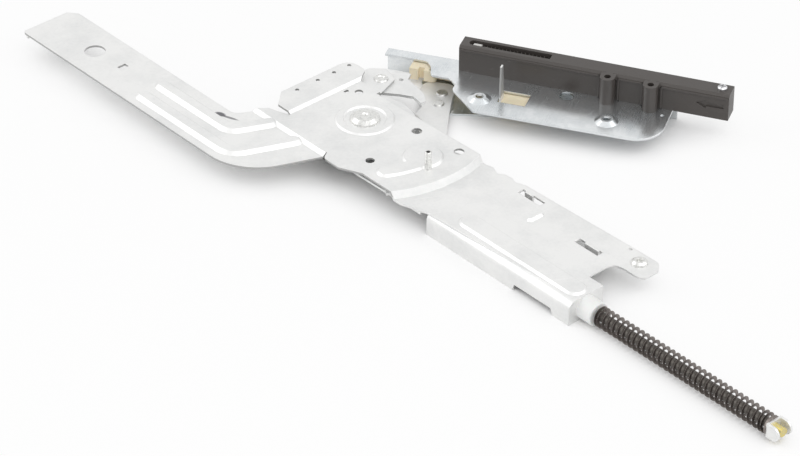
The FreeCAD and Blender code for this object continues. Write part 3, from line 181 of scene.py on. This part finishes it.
class Painter:
    """Builds one material's nodes."""

    def __init__(self, name: str) -> None:
        """Starts a material with its shader and output.

        Args:
            name: The material's name.
        """
        self.material = bpy.data.materials.new(name)
        self.material.use_nodes = True
        self.tree = self.material.node_tree
        self.tree.nodes.clear()
        self.shader = self.tree.nodes.new("ShaderNodeBsdfPrincipled")
        self.result = self.tree.nodes.new("ShaderNodeOutputMaterial")
        self.tree.links.new(self.shader.outputs[0], self.result.inputs["Surface"])
        self.place = self.node("ShaderNodeTexCoord", out="Object")

    def node(self, kind: str, settings: Optional[dict[str, Any]] = None,
             inputs: Optional[dict[str, Any]] = None, out: Union[int, str] = 0) -> Socket:
        """Adds a node of any kind.

        Args:
            kind: The node's type.
            settings: Its settings, set first.
            inputs: Values or sockets for its inputs, by name or number.
            out: The output that is returned.

        Returns:
            The chosen output.
        """
        made = self.tree.nodes.new(kind)
        for key, value in (settings or {}).items():
            setattr(made, key, value)
        for key, value in (inputs or {}).items():
            self.feed(made.inputs[key], value)
        return Socket(self.tree, made.outputs[out])

    def feed(self, place: bpy.types.NodeSocket, value: Any) -> None:
        """Sets an input to a value, or links a socket to it.

        Args:
            place: The input.
            value: A number, a colour, a vector or a socket.
        """
        if isinstance(value, Socket):
            self.tree.links.new(value.output, place)
        else:
            place.default_value = value

    def turned_place(self, angle: float, stretch: Sequence[float]) -> Socket:
        """Turns and stretches the object's own coordinates.

        Args:
            angle: The turn about Z, in degrees.
            stretch: The factor along each turned axis.

        Returns:
            The changed coordinates.
        """
        turned = self.node("ShaderNodeMapping", {"vector_type": "POINT"},
                           {"Vector": self.place, "Rotation": (0, 0, math.radians(-angle))})
        return self.node("ShaderNodeMapping", {"vector_type": "POINT"}, {"Vector": turned, "Scale": tuple(stretch)})

    def noise(self, scale: float, detail: float = 3.0, rough: float = 0.5,
              place: Optional[Socket] = None) -> Socket:
        """Adds a noise pattern.

        Args:
            scale: Its features per metre.
            detail: Its octaves.
            rough: How strong the finer octaves are.
            place: The coordinates, if not the object's own.

        Returns:
            The pattern's value, from 0 to 1.
        """
        return self.node("ShaderNodeTexNoise", {"noise_dimensions": "3D"},
                         {"Vector": place or self.place, "Scale": scale, "Detail": detail, "Roughness": rough})

    def mix(self, factor: Number, first: Any, second: Any) -> Socket:
        """Blends two colours.

        Args:
            factor: 0 for the first, 1 for the second.
            first: A colour or a socket.
            second: A colour or a socket.

        Returns:
            The blended colour.
        """
        made = self.tree.nodes.new("ShaderNodeMix")
        made.data_type = "RGBA"
        self.feed(made.inputs[0], factor)
        self.feed(made.inputs[6], first)
        self.feed(made.inputs[7], second)
        return Socket(self.tree, made.outputs[2])

    def bump(self, height: Socket, strength: float, distance: float,
             normal: Optional[Socket] = None) -> Socket:
        """Turns a height into a surface normal.

        Args:
            height: The height, from 0 to 1.
            strength: The share of the effect.
            distance: The height of 1, in metres.
            normal: The normal that it builds on, if any.

        Returns:
            The normal.
        """
        inputs: dict[str, Any] = {"Height": height, "Strength": strength, "Distance": distance}
        if normal is not None:
            inputs["Normal"] = normal
        return self.node("ShaderNodeBump", {}, inputs, "Normal")

    def rounded(self, radius: float) -> Socket:
        """Gives a normal that rounds sharp edges.

        Args:
            radius: The edge's radius, in metres.

        Returns:
            The normal.
        """
        return self.node("ShaderNodeBevel", {"samples": 6}, {"Radius": radius}, "Normal")

    def finish(self, **inputs: Any) -> bpy.types.Material:
        """Sets the shader's inputs.

        Args:
            **inputs: Values or sockets, with spaces in names written as underscores.

        Returns:
            The finished material.
        """
        for key, value in inputs.items():
            self.feed(self.shader.inputs[key.replace("_", " ")], value)
        return self.material


def grey(value: float) -> Colour:
    """Gives an even grey."""
    return (value, value, value, 1.0)


# Sheared edges, drawn darker as painted shade on their upright faces and for their duller bare cut: their colour, the
# height that they stand above, and the corner of the folded housing, which has none
SHEARED_AND_SHADE_COLOUR: Colour = (0.38, 0.38, 0.375, 1)
SHEARED_AND_SHADE_SHARE = 0.85
SHEARED_AND_SHADE_ABOVE = 17.3
HOUSING_START = 92.0
HOUSING_BACK = -12.0

# Painted shade of the nick by the arm's inner corner, a dark mark where its opening lies in shade: each spot has a
# middle, a half length, a half width and a strength
NICK_SHADE_COLOUR: Colour = (0.16, 0.16, 0.17, 1)
NICK_ANGLE = 20.0
NICK_DEPTH = 6.0
NICK_SHADE_SPOTS = [((-68.6, -64.2, 19.0), 4.6, 2.6, 1.0), ((-61.5, -62.4, 19.0), 8.0, 1.3, 0.8)]


@dataclass(frozen=True)
class ZincSheet:
    """Zinc-plated cold-rolled sheet: a pale, faintly clouded skin with fine rolling lines and rubbed spots."""

    name: str
    colour: Colour
    stain: Colour
    metallic: float
    roughness: float
    rolling: float
    scuffing: float
    grain: float

    def build(self) -> bpy.types.Material:
        """Builds the finish."""
        paint = Painter(self.name)
        clouds = paint.noise(38.0, 4.0, 0.55)
        flecks = paint.noise(420.0, 3.0, 0.6)
        lines = paint.noise(1.0, 4.0, 0.7, paint.turned_place(self.rolling, (25.0, 1400.0, 1400.0)))
        scuffs = paint.noise(1.0, 2.0, 0.5, paint.turned_place(self.rolling + 62.0, (18.0, 900.0, 300.0)))
        blotch = (clouds * 0.75 + flecks * 0.25).between(0.42, 0.66)
        colour = paint.mix(blotch, self.colour, self.stain)
        rub = scuffs.between(0.66, 0.74) * self.scuffing
        colour = paint.mix(rub, colour, grey(min(1.0, self.colour[0] * 1.12)))
        spots = flecks.between(0.70, 0.78) * 0.3
        colour = paint.mix(spots, colour, grey(self.stain[0] * 0.72))
        # painted shade: upright sheared edges drawn darker, partly for their duller bare cut
        colour = paint.mix(self._sheared_and_shade(paint), colour, SHEARED_AND_SHADE_COLOUR)
        # painted shade: a dark comma where the nick's opening lies in shade
        colour = paint.mix(self._nick_shade(paint), colour, NICK_SHADE_COLOUR)
        roughness = self.roughness + (clouds - 0.5) * 0.22 + (lines - 0.5) * 0.16 - rub * 0.2
        normal = paint.bump(lines * 0.6 + flecks * 0.4, self.grain, 0.00006, paint.rounded(0.0004))
        return paint.finish(Base_Color=colour, Metallic=self.metallic, Roughness=roughness, Normal=normal)

    @staticmethod
    def _sheared_and_shade(paint: Painter) -> Socket:
        """Masks the upright sheared edges of the upper sheet above the housing, drawn darker both for their duller
        bare cut and as painted shade on faces turned sideways.

        Args:
            paint: The material that it is painted in.

        Returns:
            Near 1 on the sheared edges and 0 elsewhere.
        """
        own_normal = paint.node("ShaderNodeTexCoord", out="Normal")
        facing = paint.node("ShaderNodeSeparateXYZ", {}, {0: own_normal}, "Z")
        lean = paint.node("ShaderNodeMath", {"operation": "ABSOLUTE"}, {0: facing})
        along, across, height = (
            paint.node("ShaderNodeSeparateXYZ", {}, {0: paint.place}, axis) for axis in "XYZ")
        folded = (along.between(HOUSING_START * MM, (HOUSING_START + 1.0) * MM)
                  * (1.0 - across.between((HOUSING_BACK - 1.0) * MM, HOUSING_BACK * MM)))
        upright = (1.0 - lean.between(0.25, 0.45)) * (1.0 - folded)
        return upright * height.between(SHEARED_AND_SHADE_ABOVE * MM, (SHEARED_AND_SHADE_ABOVE + 0.1) * MM) * SHEARED_AND_SHADE_SHARE

    @staticmethod
    def _nick_shade(paint: Painter) -> Socket:
        """Masks the painted shade of the nick by the arm's inner corner, a dark blob that runs out in a tail.

        Args:
            paint: The material that it is painted in.

        Returns:
            1 in the nick and 0 elsewhere.
        """
        mask: Optional[Socket] = None
        for middle, length, width, strength in NICK_SHADE_SPOTS:
            at = paint.turned_place(NICK_ANGLE, (1.0, length / width, length / NICK_DEPTH))
            turn = Matrix.Rotation(math.radians(-NICK_ANGLE), 3, "Z")
            centre = turn @ (Vector(middle) * MM)
            centre = Vector((centre.x, centre.y * length / width, centre.z * length / NICK_DEPTH))
            away = paint.node("ShaderNodeVectorMath", {"operation": "DISTANCE"}, {0: at, 1: centre}, "Value")
            spot = (1.0 - away.between(length * MM * 0.6, length * MM)) * strength
            mask = spot if mask is None else mask + spot
        return mask


@dataclass(frozen=True)
class TurnedSteel:
    """Steel of rivets, pins and screws: plated over, with small tool marks."""

    name: str
    colour: Colour
    mark: Colour
    roughness: float
    metallic: float = 0.9

    def build(self) -> bpy.types.Material:
        """Builds the finish."""
        paint = Painter(self.name)
        marks = paint.noise(700.0, 3.0, 0.6)
        grain = paint.noise(3200.0, 2.0, 0.5)
        colour = paint.mix(marks.between(0.45, 0.68), self.colour, self.mark)
        roughness = self.roughness + (marks - 0.5) * 0.25
        normal = paint.bump(marks * 0.7 + grain * 0.3, 0.35, 0.00008, paint.rounded(0.0003))
        return paint.finish(Base_Color=colour, Metallic=self.metallic, Roughness=roughness, Normal=normal)


@dataclass(frozen=True)
class OiledWire:
    """Dark oiled spring wire, rubbed bright in places along its outside."""

    name: str
    colour: Colour
    rubbed: Colour
    roughness: float

    def build(self) -> bpy.types.Material:
        """Builds the finish."""
        paint = Painter(self.name)
        drawn = paint.noise(900.0, 3.0, 0.6)
        oil = paint.noise(120.0, 3.0, 0.5)
        colour = paint.mix(drawn.between(0.50, 0.72) * 0.6, self.colour, self.rubbed)
        roughness = self.roughness + (oil - 0.5) * 0.3
        normal = paint.bump(drawn, 0.3, 0.00005)
        return paint.finish(Base_Color=colour, Metallic=0.95, Roughness=roughness, Normal=normal)


@dataclass(frozen=True)
class PassivatedRod:
    """Yellow passivated rod, drawn dark along the part that stands in the spring: painted shade between the coils,
    with its oil.
    """

    name: str
    colour: Colour
    dull: Colour
    oil_and_shade: Colour
    roughness: float
    oil_and_shade_ends: float

    def build(self) -> bpy.types.Material:
        """Builds the finish."""
        paint = Painter(self.name)
        crystals = paint.noise(1500.0, 3.0, 0.6)
        along = paint.node("ShaderNodeSeparateXYZ", {}, {"Vector": paint.place}, "X")
        past_oil_and_shade = along.between(self.oil_and_shade_ends - 0.001, self.oil_and_shade_ends)
        bright = paint.mix(crystals.between(0.42, 0.62), self.colour, self.dull)
        # painted shade: the rod darkened inside the spring, with its oil
        colour = paint.mix(past_oil_and_shade, self.oil_and_shade, bright)
        roughness = self.roughness + (crystals - 0.5) * 0.3
        normal = paint.bump(crystals, 0.5, 0.0001, paint.rounded(0.0004))
        return paint.finish(Base_Color=colour, Metallic=0.7, Roughness=roughness, Normal=normal)


@dataclass(frozen=True)
class MouldedPlastic:
    """Moulded plastic with a fine spark-eroded grain and a few scuffs."""

    name: str
    colour: Colour
    scuff: Colour
    roughness: float
    grain: float
    subsurface: float = 0.0

    def build(self) -> bpy.types.Material:
        """Builds the finish."""
        paint = Painter(self.name)
        grain = paint.noise(self.grain, 2.0, 0.6)
        clouds = paint.noise(70.0, 3.0, 0.5)
        scuffs = paint.noise(1.0, 2.0, 0.5, paint.turned_place(38.0, (30.0, 1100.0, 500.0)))
        worn = scuffs.between(0.66, 0.76) * 0.45 + grain.between(0.62, 0.75) * 0.15
        colour = paint.mix(worn, self.colour, self.scuff)
        roughness = self.roughness + (clouds - 0.5) * 0.18 - worn * 0.12
        normal = paint.bump(grain, 0.4, 0.00006, paint.rounded(0.00035))
        return paint.finish(Base_Color=colour, Roughness=roughness, Normal=normal,
                            Subsurface_Weight=self.subsurface)


FINISHES = {
    Slot.ZINC_SHEET: ZincSheet(
        "zinc sheet", colour=(0.87, 0.87, 0.86, 1), stain=(0.77, 0.775, 0.77, 1), metallic=0.50, roughness=0.40,
        rolling=0.0, scuffing=0.30, grain=0.22),
    Slot.BRACKET_SHEET: ZincSheet(
        "bracket zinc sheet", colour=(0.80, 0.82, 0.83, 1), stain=(0.64, 0.675, 0.695, 1), metallic=0.90,
        roughness=0.24, rolling=120.5, scuffing=0.10, grain=0.05),
    Slot.RIVET_STEEL: TurnedSteel(
        "plated rivet steel", colour=(0.78, 0.78, 0.76, 1), mark=(0.58, 0.58, 0.57, 1), roughness=0.30),
    Slot.BUSH_STEEL: TurnedSteel(
        "plain bush steel", colour=(0.50, 0.50, 0.51, 1), mark=(0.34, 0.34, 0.35, 1), roughness=0.38),
    Slot.SCREW_STEEL: TurnedSteel(
        "screw steel", colour=(0.66, 0.66, 0.67, 1), mark=(0.45, 0.45, 0.46, 1), roughness=0.28),
    Slot.SPRING_STEEL: OiledWire(
        "oiled spring wire", colour=(0.21, 0.185, 0.172, 1), rubbed=(0.42, 0.385, 0.37, 1), roughness=0.42),
    # the rod's dark colour inside the spring is painted shade between the coils, with its oil
    Slot.PASSIVATED_STEEL: PassivatedRod(
        "yellow passivated rod", colour=(0.74, 0.60, 0.16, 1), dull=(0.62, 0.58, 0.40, 1),
        oil_and_shade=(0.11, 0.10, 0.09, 1), roughness=0.42, oil_and_shade_ends=0.383),
    Slot.WHITE_PLASTIC: MouldedPlastic(
        "white moulded bush", colour=(0.94, 0.93, 0.91, 1), scuff=(0.88, 0.87, 0.85, 1), roughness=0.42,
        grain=2600.0, subsurface=0.06),
    Slot.CREAM_PLASTIC: MouldedPlastic(
        "cream moulded slider", colour=(0.90, 0.79, 0.58, 1), scuff=(0.92, 0.85, 0.70, 1), roughness=0.45,
        grain=2600.0, subsurface=0.05),
    Slot.GREY_PLASTIC: MouldedPlastic(
        "grey moulded plunger", colour=(0.66, 0.65, 0.63, 1), scuff=(0.74, 0.74, 0.72, 1), roughness=0.45,
        grain=2600.0),
    Slot.BLACK_PLASTIC: MouldedPlastic(
        "black moulded rail", colour=(0.066, 0.058, 0.053, 1), scuff=(0.135, 0.122, 0.115, 1), roughness=0.40,
        grain=2200.0),
}


class Wardrobe:
    """Holds the built finishes and puts them on nodes and pieces."""

    def __init__(self) -> None:
        """Builds every finish once."""
        self.materials = {slot: finish.build() for slot, finish in FINISHES.items()}

    def dress(self, thing: bpy.types.Object, slot: Slot) -> None:
        """Gives an object a finish.

        Args:
            thing: The object.
            slot: The slot whose finish it takes.
        """
        thing.data.materials.clear()
        thing.data.materials.append(self.materials[slot])

    def dress_nodes(self, frame: dict[str, Any]) -> None:
        """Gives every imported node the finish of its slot.
        """
        for part in frame["record"]["subparts"]:
            self.dress(frame["nodes"][part["node"]], Slot(part["material_slot"]))
            log.info("node %s wears %s", part["node"], part["material_slot"])


def object_from(mesh_work: bmesh.types.BMesh, name: str, smooth: bool = True) -> bpy.types.Object:
    """Turns mesh work into a linked object at the origin.

    Args:
        mesh_work: The finished mesh work, freed here.
        name: The object's name.
        smooth: Whether its faces are shaded smooth.

    Returns:
        The object.
    """
    bmesh.ops.recalc_face_normals(mesh_work, faces=mesh_work.faces)
    mesh = bpy.data.meshes.new(name)
    mesh_work.to_mesh(mesh)
    mesh_work.free()
    for face in mesh.polygons:
        face.use_smooth = smooth
    made = bpy.data.objects.new(name, mesh)
    bpy.context.scene.collection.objects.link(made)
    return made


CLOSED_TURNS = 1.5
CLOSE_PITCH_SHARE = 2.02
SEAT_GAP = 0.1


@dataclass
class WireSpring:
    """A compression spring of round wire, with closed end turns, wound along X in millimetres."""

    name: str
    node: str
    slot: Slot
    radius: float
    wire: float
    pitch: float
    length: float
    sides: int
    steps: int
    place: Matrix
    moves_between: tuple[Body, Body]
    start: Vector
    end: Vector

    def _wind(self, work: bmesh.types.BMesh, ring: Sequence[Any], turns: float, pitch: float) -> list[Any]:
        """Winds a ring of wire on by some turns.

        Args:
            work: The mesh work.
            ring: The last ring's vertices and edges.
            turns: How many turns it winds.
            pitch: How far a turn comes along the axis.

        Returns:
            The new last ring.
        """
        steps = max(2, round(turns * self.steps))
        wound = bmesh.ops.spin(work, geom=ring, cent=(0, 0, 0), axis=(1, 0, 0), dvec=(turns * pitch / steps, 0, 0),
                               angle=2 * math.pi * turns, steps=steps, use_duplicate=False)
        return wound["geom_last"]

    def build(self) -> bpy.types.Object:
        """Winds the spring and puts it in its place.

        Returns:
            The spring.
        """
        close_pitch = self.wire * CLOSE_PITCH_SHARE
        open_turns = (self.length - 2 * CLOSED_TURNS * close_pitch) / self.pitch
        work = bmesh.new()
        bmesh.ops.create_circle(work, segments=self.sides, radius=self.wire)
        bmesh.ops.translate(work, verts=work.verts, vec=(0, self.radius, 0))
        upright = Matrix.Rotation(math.radians(90), 3, "Y")
        bmesh.ops.rotate(work, verts=work.verts, cent=(0, 0, 0), matrix=upright)
        first = list(work.verts) + list(work.edges)
        start_edges = list(work.edges)
        ring = self._wind(work, first, CLOSED_TURNS, close_pitch)
        ring = self._wind(work, ring, open_turns, self.pitch)
        ring = self._wind(work, ring, CLOSED_TURNS, close_pitch)
        bmesh.ops.contextual_create(work, geom=start_edges)
        end_edges = [part for part in ring if isinstance(part, bmesh.types.BMEdge)]
        bmesh.ops.contextual_create(work, geom=end_edges)
        bmesh.ops.transform(work, matrix=Matrix.Scale(MM, 4), verts=work.verts)
        bmesh.ops.transform(work, matrix=self.place, verts=work.verts)
        return object_from(work, self.name)

    def fit(self, wardrobe: Wardrobe) -> bpy.types.Object:
        """Winds the spring, dresses it and hides the node that it stands in for.

        Args:
            wardrobe: The finishes.

        Returns:
            The spring.
        """
        spring = self.build()
        wardrobe.dress(spring, self.slot)
        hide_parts(self.node)
        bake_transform(spring)
        log.info("%s: %d faces of wire", self.name, len(spring.data.polygons))
        return spring


@dataclass
class SpringRod:
    """The tie rod's spring, between the white bush and the washer, in millimetres."""

    axis_y: float = -23.0
    axis_z: float = 8.4
    bush_face: float = 240.0
    seat_face: float = 382.4
    radius: float = 6.65
    wire: float = 1.2
    pitch: float = 4.28

    def build(self, wardrobe: Wardrobe) -> None:
        """Builds the spring.

        Args:
            wardrobe: The finishes.
        """
        start = self.bush_face + self.wire + SEAT_GAP
        end = self.seat_face - self.wire - SEAT_GAP
        place = Matrix.Translation(Vector((start, self.axis_y, self.axis_z)) * MM)
        WireSpring(
            name="main_spring_wire", node="main_spring", slot=Slot.SPRING_STEEL,
            radius=self.radius - self.wire, wire=self.wire, pitch=self.pitch, length=end - start,
            sides=12, steps=30, place=place,
            moves_between=(Body.FRAME, Body.ROD),
            start=Vector((self.bush_face, self.axis_y, self.axis_z)) * MM,
            end=Vector((self.seat_face, self.axis_y, self.axis_z)) * MM,
        ).fit(wardrobe)


@dataclass
class Rail:
    """The moulded rail's small spring and raised rims, in millimetres in the rail's own frame."""

    door_angle: float = 30.5
    yaw: float = -1.4
    start: float = 37.6
    front: float = 82.4
    base: float = 15.5
    depth: float = 13.5
    height: float = 19.0
    slot_start: float = 5.0
    slot_end: float = 61.0
    slot_depth: float = 6.0
    slot_offset: float = 0.4
    plunger_start: float = 2.5
    plunger_radius: float = 2.3
    plunger_length: float = 6.0
    plunger_lift: float = 0.6
    end_gap: float = 0.3
    wire: float = 0.45
    pitch: float = 2.6
    length: float = 183.0
    posts: tuple[float, float] = (102.5, 131.5)
    post_radius: float = 5.0
    post_gap: float = 1.4
    rim_proud: float = 1.0
    rim_sunk: float = 0.1
    rim_width: float = 1.5
    rim_top: float = 17.2
    rim_foot: float = 0.4
    rim_inset: float = 0.6
    rim_bevel: float = 0.4

    def place(self) -> Matrix:
        """Gives the rail's place in the hinge, in metres."""
        door = Matrix.Rotation(math.radians(self.door_angle), 4, "Z")
        corner = Matrix.Translation(Vector((self.start, self.front, self.base)) * MM)
        return door @ corner @ Matrix.Rotation(math.radians(self.yaw), 4, "Z")

    def build(self, wardrobe: Wardrobe) -> None:
        """Builds the small spring.

        Args:
            wardrobe: The finishes.
        """
        middle = self.depth * 0.5 + self.slot_offset
        level = self.height - self.slot_depth + self.plunger_radius + self.plunger_lift
        start = self.slot_start + self.plunger_start + self.plunger_length + self.wire + SEAT_GAP
        length = self.slot_end - start - self.wire - self.end_gap
        place = self.place() @ Matrix.Translation(Vector((start, middle, level)) * MM)
        WireSpring(
            name="rail_spring_wire", node="rail_spring", slot=Slot.SPRING_STEEL,
            radius=self.plunger_radius - self.wire, wire=self.wire, pitch=self.pitch, length=length,
            sides=8, steps=24, place=place,
            moves_between=(Body.DOOR_ARM, Body.PLUNGER),
            start=place @ (Vector((length, 0, 0)) * MM), end=place @ Vector((0, 0, 0)),
        ).fit(wardrobe)

    def trim(self, wardrobe: Wardrobe) -> None:
        """Builds the raised rims that frame the sunk panels of the rail's front face.

        Args:
            wardrobe: The finishes.
        """
        strips = [(self.rim_inset, self.length - self.rim_inset, self.rim_top - self.rim_width, self.rim_top)]
        for post in self.posts:
            for side in (-1, 1):
                near = post + side * (self.post_radius + self.post_gap)
                half = self.rim_width * 0.5
                strips.append((near - half, near + half, self.rim_foot, self.rim_top))
        work = bmesh.new()
        for start, end, low, top in strips:
            bmesh.ops.create_cube(work, size=1.0)
            fresh = work.verts[-8:]
            thick = self.rim_proud + 2 * self.rim_sunk
            middle = ((start + end) * 0.5, self.rim_sunk - self.rim_proud * 0.5, (low + top) * 0.5)
            bmesh.ops.scale(work, verts=fresh, vec=(end - start, thick, top - low))
            bmesh.ops.translate(work, verts=fresh, vec=middle)
        bmesh.ops.bevel(work, geom=list(work.edges), offset=self.rim_bevel, offset_type="OFFSET", segments=3,
                        profile=0.5, affect="EDGES", material=-1)
        bmesh.ops.transform(work, matrix=self.place() @ Matrix.Scale(MM, 4), verts=work.verts)
        rims = object_from(work, "rail_rims", smooth=False)
        wardrobe.dress(rims, Slot.BLACK_PLASTIC)
        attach(rims, Body.DOOR_ARM.value)
        log.info("rail_rims: %d faces", len(rims.data.polygons))


@dataclass
class Studio:
    """A white table under a broad soft light, and the camera."""

    azimuth: float = 48.5
    elevation: float = 35.0
    distance: float = 2.25
    target: Vector = field(default_factory=lambda: Vector((0.0839, -0.0442, 0.0)))
    focal_pixels: float = 3600.0
    floor_size: float = 14.0
    contact_reach: float = 0.032
    glow_share: float = 0.84
    room_light: float = 0.49

    def build(self) -> None:
        """Builds the table, the lights, the world and the camera."""
        self._table()
        self._world()
        self._lamps()
        self._camera()

    def _table(self) -> None:
        """Lays the white table, whose glow fades close under the hinge, so that it keeps the soft shadow."""
        work = bmesh.new()
        bmesh.ops.create_grid(work, x_segments=1, y_segments=1, size=self.floor_size * 0.5)
        table = object_from(work, "table_top", smooth=False)
        paint = Painter("white table")
        glow = paint.node("ShaderNodeEmission", {}, {"Color": (1, 1, 1, 1), "Strength": 1.0})
        seen = paint.node("ShaderNodeLightPath", out="Is Camera Ray")
        shine = paint.node("ShaderNodeLightPath", out="Is Glossy Ray")
        through = paint.node("ShaderNodeLightPath", out="Is Transmission Ray")
        open_sky = paint.node(
            "ShaderNodeAmbientOcclusion", {"samples": 8}, {"Distance": self.contact_reach}, "AO")
        share = (seen + shine + through) * open_sky.between(0.3, 0.86) * self.glow_share
        blend = paint.node("ShaderNodeMixShader", {}, {0: share, 2: glow})
        paint.tree.links.new(paint.shader.outputs[0], blend.output.node.inputs[1])
        paint.tree.links.new(blend.output, paint.result.inputs["Surface"])
        paint.finish(Base_Color=(0.98, 0.98, 0.98, 1), Roughness=0.9)
        table.data.materials.append(paint.material)

    def _world(self) -> None:
        """Sets an even pale room that lights the hinge softly and shows white where it is seen."""
        world = bpy.data.worlds.new("pale room")
        bpy.context.scene.world = world
        world.use_nodes = True
        tree = world.node_tree
        tree.nodes.clear()
        paths = tree.nodes.new("ShaderNodeLightPath")
        rays = [Socket(tree, paths.outputs[ray]) for ray in ("Is Camera Ray", "Is Glossy Ray", "Is Transmission Ray")]
        shown = rays[0] + rays[1] + rays[2]
        blend = tree.nodes.new("ShaderNodeMixShader")
        result = tree.nodes.new("ShaderNodeOutputWorld")
        tree.links.new(shown.output, blend.inputs[0])
        for place, strength in ((1, self.room_light), (2, 1.0)):
            light = tree.nodes.new("ShaderNodeBackground")
            light.inputs["Color"].default_value = (1, 1, 1, 1)
            light.inputs["Strength"].default_value = strength
            tree.links.new(light.outputs[0], blend.inputs[place])
        tree.links.new(blend.outputs[0], result.inputs["Surface"])

    @staticmethod
    def _lamp(name: str, place: Sequence[float], size: float, power: float) -> None:
        """Hangs one square soft lamp that faces the hinge's pivot.

        Args:
            name: The lamp's name.
            place: Where it hangs.
            size: Its side, in metres.
            power: Its power, in watts.
        """
        data = bpy.data.lights.new(name, "AREA")
        data.size = size
        data.energy = power
        lamp = bpy.data.objects.new(name, data)
        lamp.location = Vector(place)
        lamp.rotation_euler = (-Vector(place)).to_track_quat("-Z", "Y").to_euler()
        bpy.context.scene.collection.objects.link(lamp)

    def _lamps(self) -> None:
        """Hangs the lamps."""
        self._lamp("left box", (-1.6, -1.5, 1.4), 2.2, 22.0)
        self._lamp("right box", (1.5, 1.4, 1.6), 2.2, 15.0)
        self._lamp("front box", (1.5, -0.6, 1.9), 1.8, 16.0)

    def _camera(self) -> None:
        """Sets the camera at the viewing angle."""
        turn, rise = math.radians(self.azimuth), math.radians(self.elevation)
        back = Vector((math.sin(turn) * math.cos(rise), -math.cos(turn) * math.cos(rise), math.sin(rise)))
        data = bpy.data.cameras.new("camera")
        data.sensor_width = 36.0
        data.lens = self.focal_pixels * data.sensor_width / IMAGE_WIDTH
        data.clip_end = 50.0
        camera = bpy.data.objects.new("camera", data)
        camera.location = self.target + back * self.distance
        camera.rotation_euler = (-back).to_track_quat("-Z", "Y").to_euler()
        bpy.context.scene.collection.objects.link(camera)
        bpy.context.scene.camera = camera


def main() -> None:
    """Dresses the hinge and sets up the studio."""
    logging.basicConfig(level=logging.INFO, format="%(name)s: %(message)s")
    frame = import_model()
    bpy.context.scene.view_settings.view_transform = "Standard"
    wardrobe = Wardrobe()
    wardrobe.dress_nodes(frame)
    SpringRod().build(wardrobe)
    rail = Rail()
    rail.build(wardrobe)
    rail.trim(wardrobe)
    Studio().build()


if __name__ == "__main__":
    main()
